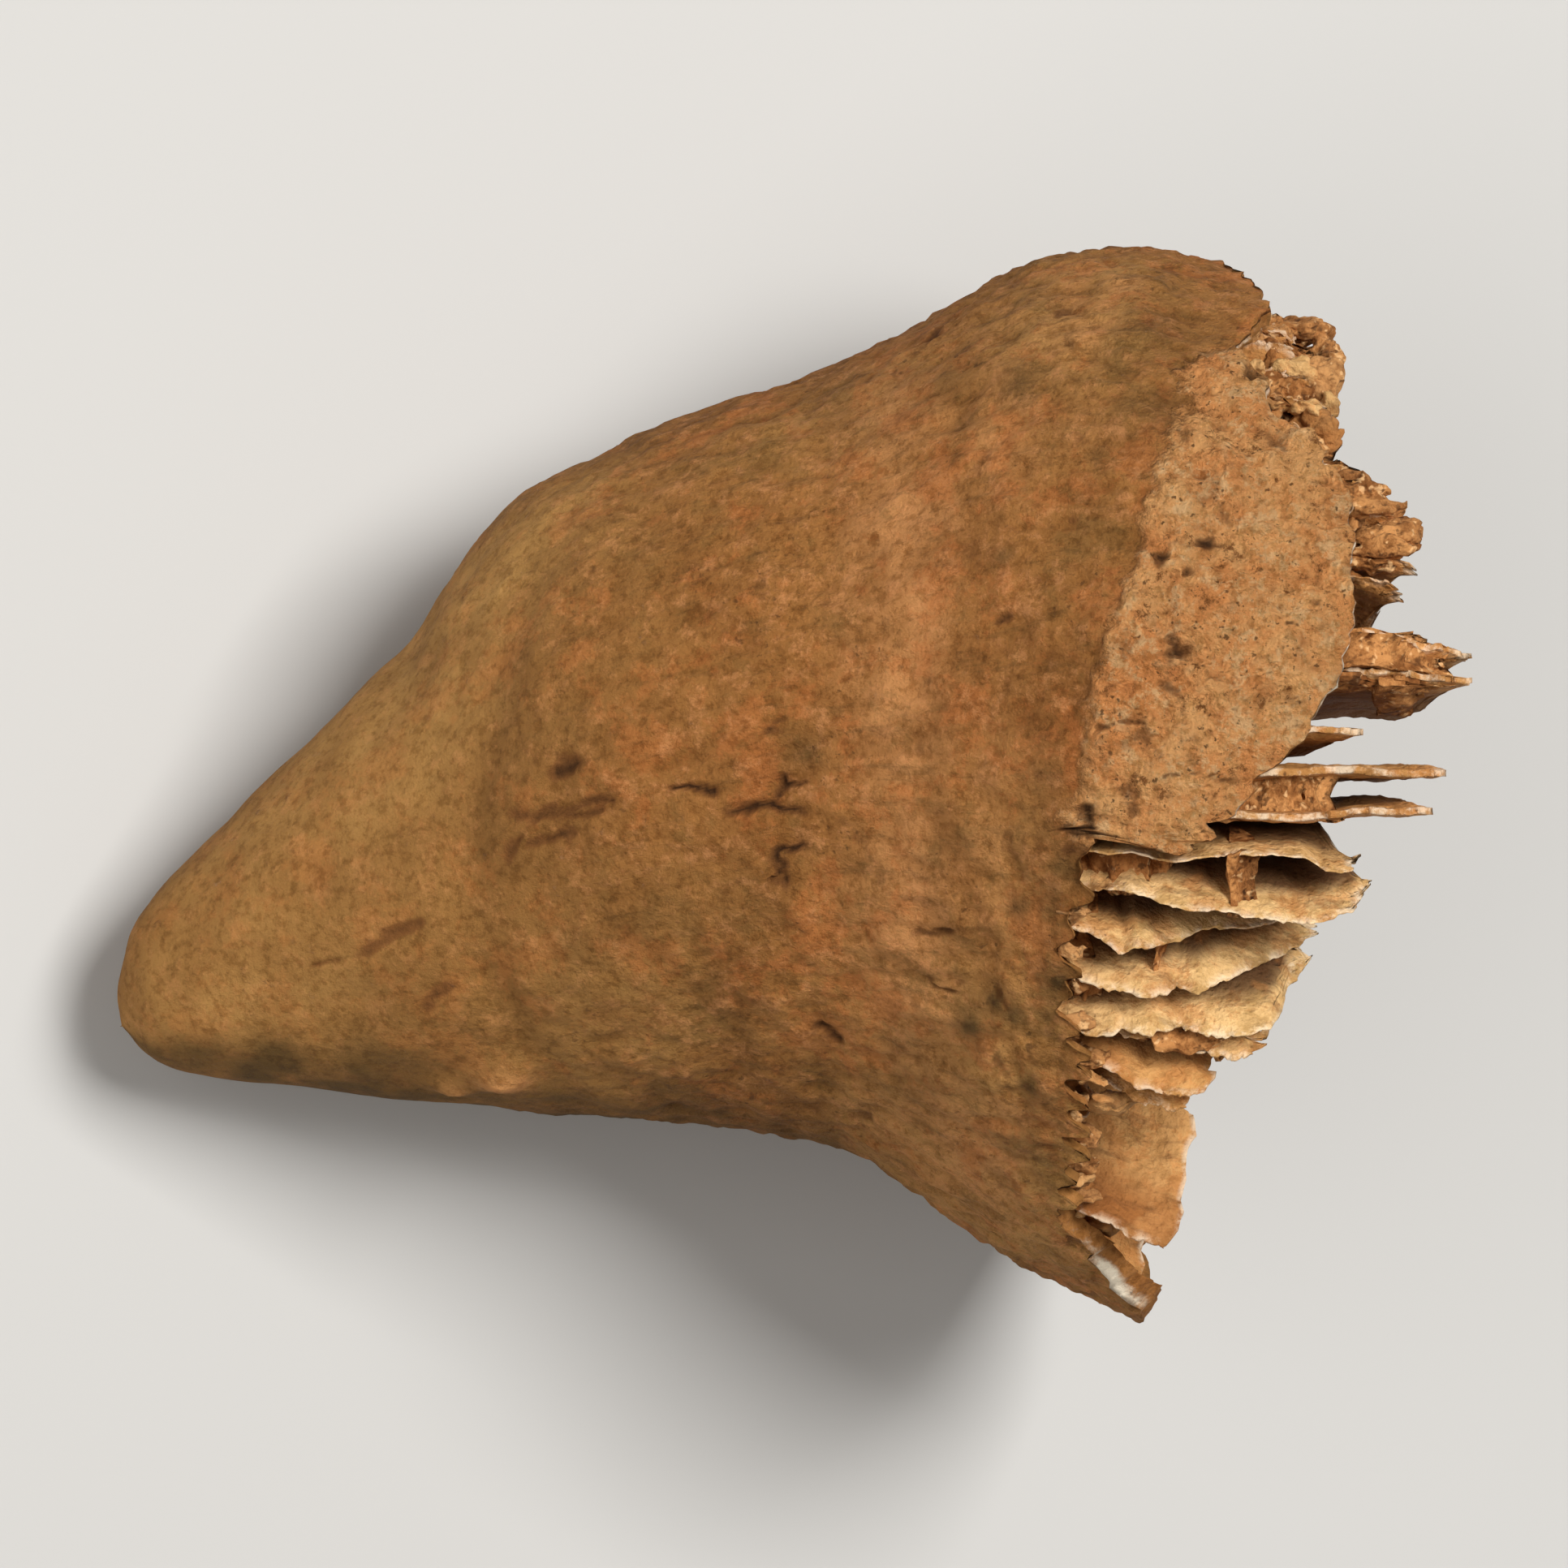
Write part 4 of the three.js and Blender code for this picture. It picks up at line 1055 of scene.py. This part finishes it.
level_rng = np.random.default_rng(8)
cross_walls = []
for number in range(15, 61):
    here, there = septum_line(number), septum_line(number + 1)
    half_turn = turned(there[0, 1] - here[0, 1]) / 2
    for level in np.arange(34.6, min(here[-1, 0], there[-1, 0]) - 1.0, 1.7):
        low = level + level_rng.uniform(-0.5, 0.5)
        slope = level_rng.uniform(0.8, 2.0)
        inward = 0.97 - level_rng.uniform(0.08, 0.26)
        cross_walls.append(slab(
            lambda u: low + slope * u - slope, lambda u: low + slope * u - slope + 0.3,
            same(inward), same(0.975), same(here[0, 1] + half_turn),
            lambda share: RADIUS * share * np.radians(abs(2 * half_turn)) / 2,
            (2, 8, 6), 9000 + int(level_rng.integers(4000)), wear=0.0, arch=0.35,
            grit=[(0.8, 0.06)],
        ))
make_slabs("cross_walls", cross_walls, calcite)

# ----------------------------------------
# Rubble: lumps of broken calcite and of set clay that cling along the broken rim.
# They sit between the stubs of the septa and in the upper corner of the calice.
# ----------------------------------------

# Lumps: p, q, how far out, half length, half width, how pale.
CALCITE_LUMPS = [
    (36.5, -11.4, 0.95, 0.5, 0.3, 0.8), (37.3, -12.0, 0.92, 1.1, 0.35, 0.6),
    (36.7, -16.8, 0.93, 0.7, 0.5, 0.5), (43.9, 15.4, 0.95, 0.7, 0.45, 1.0),
    (45.2, 14.2, 0.92, 0.4, 0.6, 1.0), (44.3, 14.0, 0.965, 0.6, 0.26, 1.0),
    (44.6, 13.3, 0.93, 0.9, 0.6, 0.2), (45.1, 12.9, 0.93, 0.6, 0.4, 0.2),
    (42.5, 15.3, 0.97, 0.4, 0.22, 0.9), (42.9, 14.0, 0.97, 0.45, 0.25, 0.7),
]
CLAY_LUMPS = [
    (44.3, 17.0, 0.93, 1.2, 0.5, 0.1), (45.15, 16.2, 0.9, 0.5, 0.8, 0.1),
    (45.5, 15.8, 0.9, 0.4, 0.7, 0.3), (44.8, 15.0, 0.92, 0.9, 0.9, 0.5),
    (43.2, 16.6, 0.93, 0.7, 0.5, 0.3), (43.2, 15.3, 0.92, 0.5, 0.9, 0.0),
    (43.8, 14.2, 0.9, 1.0, 0.8, 0.0), (43.9, 12.4, 0.93, 1.2, 0.5, 0.1),
    (42.3, 16.4, 0.95, 0.6, 0.3, 0.5), (36.2, -10.8, 0.94, 0.8, 0.4, 0.2),
    (36.0, -13.7, 0.94, 0.7, 0.4, 0.2), (36.0, -14.7, 0.94, 0.7, 0.4, 0.2),
    (35.9, -16.4, 0.94, 0.6, 0.4, 0.6), (35.6, -8.1, 0.93, 0.9, 0.4, 0.2),
    (35.7, -9.7, 0.97, 0.5, 0.35, 0.5), (35.6, -12.4, 0.97, 0.5, 0.3, 0.6),
    (35.7, -13.0, 0.97, 0.4, 0.3, 0.9), (35.6, -14.2, 0.97, 0.5, 0.3, 0.5),
    (35.9, -15.3, 0.96, 0.6, 0.35, 0.9), (36.1, -15.9, 0.96, 0.6, 0.3, 0.4),
    (35.5, -10.3, 0.97, 0.4, 0.25, 0.3), (35.6, -7.0, 0.97, 0.5, 0.25, 0.6),
    (35.7, -5.7, 0.97, 0.5, 0.25, 0.6), (46.0, 11.2, 0.95, 1.0, 0.5, 0.1),
    (46.7, 10.4, 0.94, 1.3, 0.6, 0.1), (47.2, 9.5, 0.94, 1.2, 0.55, 0.1),
    (46.6, 9.0, 0.95, 1.2, 0.5, 0.0), (46.4, 8.3, 0.95, 1.0, 0.3, 0.0),
]
LUMP_ROWS, LUMP_COLUMNS = 22, 34


def lump(place, across, share, length, width, pale, seed):
    """A rough stone: a ball of points pushed about, with the mask of how pale it is."""
    tilt = np.degrees(np.arcsin(np.clip((across + 0.1) / (RADIUS * share), -1, 1)))
    centre = point_at_reach(place, tilt, share)
    rise = np.linspace(0, np.pi, LUMP_ROWS + 1)[1:-1]
    turn = np.linspace(0, 2 * np.pi, LUMP_COLUMNS, endpoint=False)
    rise, turn = (grid.ravel() for grid in np.meshgrid(rise, turn, indexing="ij"))
    ball = np.stack([np.cos(rise), np.sin(rise) * np.cos(turn), np.sin(rise) * np.sin(turn)], -1)
    ball = np.concatenate([ball, [[1, 0, 0], [-1, 0, 0]]])
    knobbly = 1 + 0.5 * noise(ball, 1.1, seed) + 0.2 * noise(ball, 0.5, seed + 9)
    points = centre + ball * knobbly[:, None] * [length, width, (length + width) / 2]
    for size, far in ((0.9, 0.2), (0.4, 0.13), (0.22, 0.05)):
        points = shaken(points, size, far, seed + 1)
    quads = wrapped_quads(LUMP_ROWS - 1, LUMP_COLUMNS, 0)
    first = np.arange(LUMP_COLUMNS)
    last = first + (LUMP_ROWS - 2) * LUMP_COLUMNS
    near_pole, far_pole = (np.full(LUMP_COLUMNS, len(ball) - back) for back in (2, 1))
    caps = [
        np.stack([near_pole, first, np.roll(first, -1)], -1),
        np.stack([far_pole, np.roll(last, -1), last], -1),
    ]
    return points, quads, np.concatenate(caps), np.full(len(points), float(pale))


for name, places, material in (
    ("rubble_calcite", CALCITE_LUMPS, calcite), ("rubble_clay", CLAY_LUMPS, set_clay),
):
    lumps = [lump(*place, 20000 + len(places) + 10 * i) for i, place in enumerate(places)]
    starts = np.cumsum([0] + [len(part[0]) for part in lumps])
    faces = [
        np.concatenate([part[i] + first for part, first in zip(lumps, starts)]) for i in (1, 2)
    ]
    points, pale = (np.concatenate([part[i] for part in lumps]) for i in (0, 3))
    masks = {
        "clean": 0.7 * pale, "low": 1 - pale, "rust": 0.8 * (1 - pale), "pale": 0.5 * pale,
        "grown": points,
    }
    make_piece(name, points, faces, masks, material)

# ----------------------------------------
# Floor, light and camera: a pale table, a key lamp from the upper left, a wide fill lamp on the
# other side, and a long lens square onto the horn's side.
# ----------------------------------------

floor_mesh = bpy.data.meshes.new("floor")
floor_mesh.from_pydata([(-2, -2, 0), (2, -2, 0), (2, 2, 0), (-2, 2, 0)], [], [(0, 1, 2, 3)])
floor = bpy.data.objects.new("floor", floor_mesh)
bpy.context.scene.collection.objects.link(floor)
floor_material, _, floor_shader, _ = new_material("pale_floor")
floor_shader.inputs["Base Color"].default_value = colour(196, 194, 190)
floor_shader.inputs["Roughness"].default_value = 0.9
floor_mesh.materials.append(floor_material)

world_light = bpy.data.worlds.new("studio")
world_light.use_nodes = True
background = world_light.node_tree.nodes["Background"]
background.inputs["Color"].default_value = (1.0, 0.97, 0.93, 1)
background.inputs["Strength"].default_value = 0.2
bpy.context.scene.world = world_light


LIT_PLACE = [26, 0, 5]


def area_light(name, place, size, watts):
    """A square lamp at a place in the growth frame, which faces the lit place."""
    lamp = bpy.data.lights.new(name, "AREA")
    lamp.energy, lamp.size = watts, size
    holder = bpy.data.objects.new(name, lamp)
    bpy.context.scene.collection.objects.link(holder)
    holder.location = to_row_frame(place)
    holder.rotation_mode = "QUATERNION"
    beam = Vector(to_row_frame(LIT_PLACE) - to_row_frame(place))
    holder.rotation_quaternion = beam.to_track_quat("-Z", "Y")


area_light("key", [240, 120, 340], 0.18, 1.95)
area_light("fill", [-190, -60, 340], 0.4, 0.85)

LENS_MM, SENSOR_MM = 300.0, 36.0
FRAME_POINTS, MM_PER_POINT = 1932, 0.0305
camera_data = bpy.data.cameras.new("camera")
camera_data.lens, camera_data.sensor_width = LENS_MM, SENSOR_MM
camera_data.clip_start, camera_data.clip_end = 0.01, 10.0
camera = bpy.data.objects.new("camera", camera_data)
bpy.context.scene.collection.objects.link(camera)
distance = FRAME_POINTS * MM_PER_POINT / 2 * LENS_MM / (SENSOR_MM / 2)
pose = np.eye(4)
pose[:3, :3], pose[:3, 3] = GROWTH_AXES.T, to_row_frame([25.16, -0.18, distance])
camera.matrix_world = Matrix(pose.tolist())
bpy.context.scene.camera = camera
bpy.context.scene.view_settings.view_transform = "Standard"
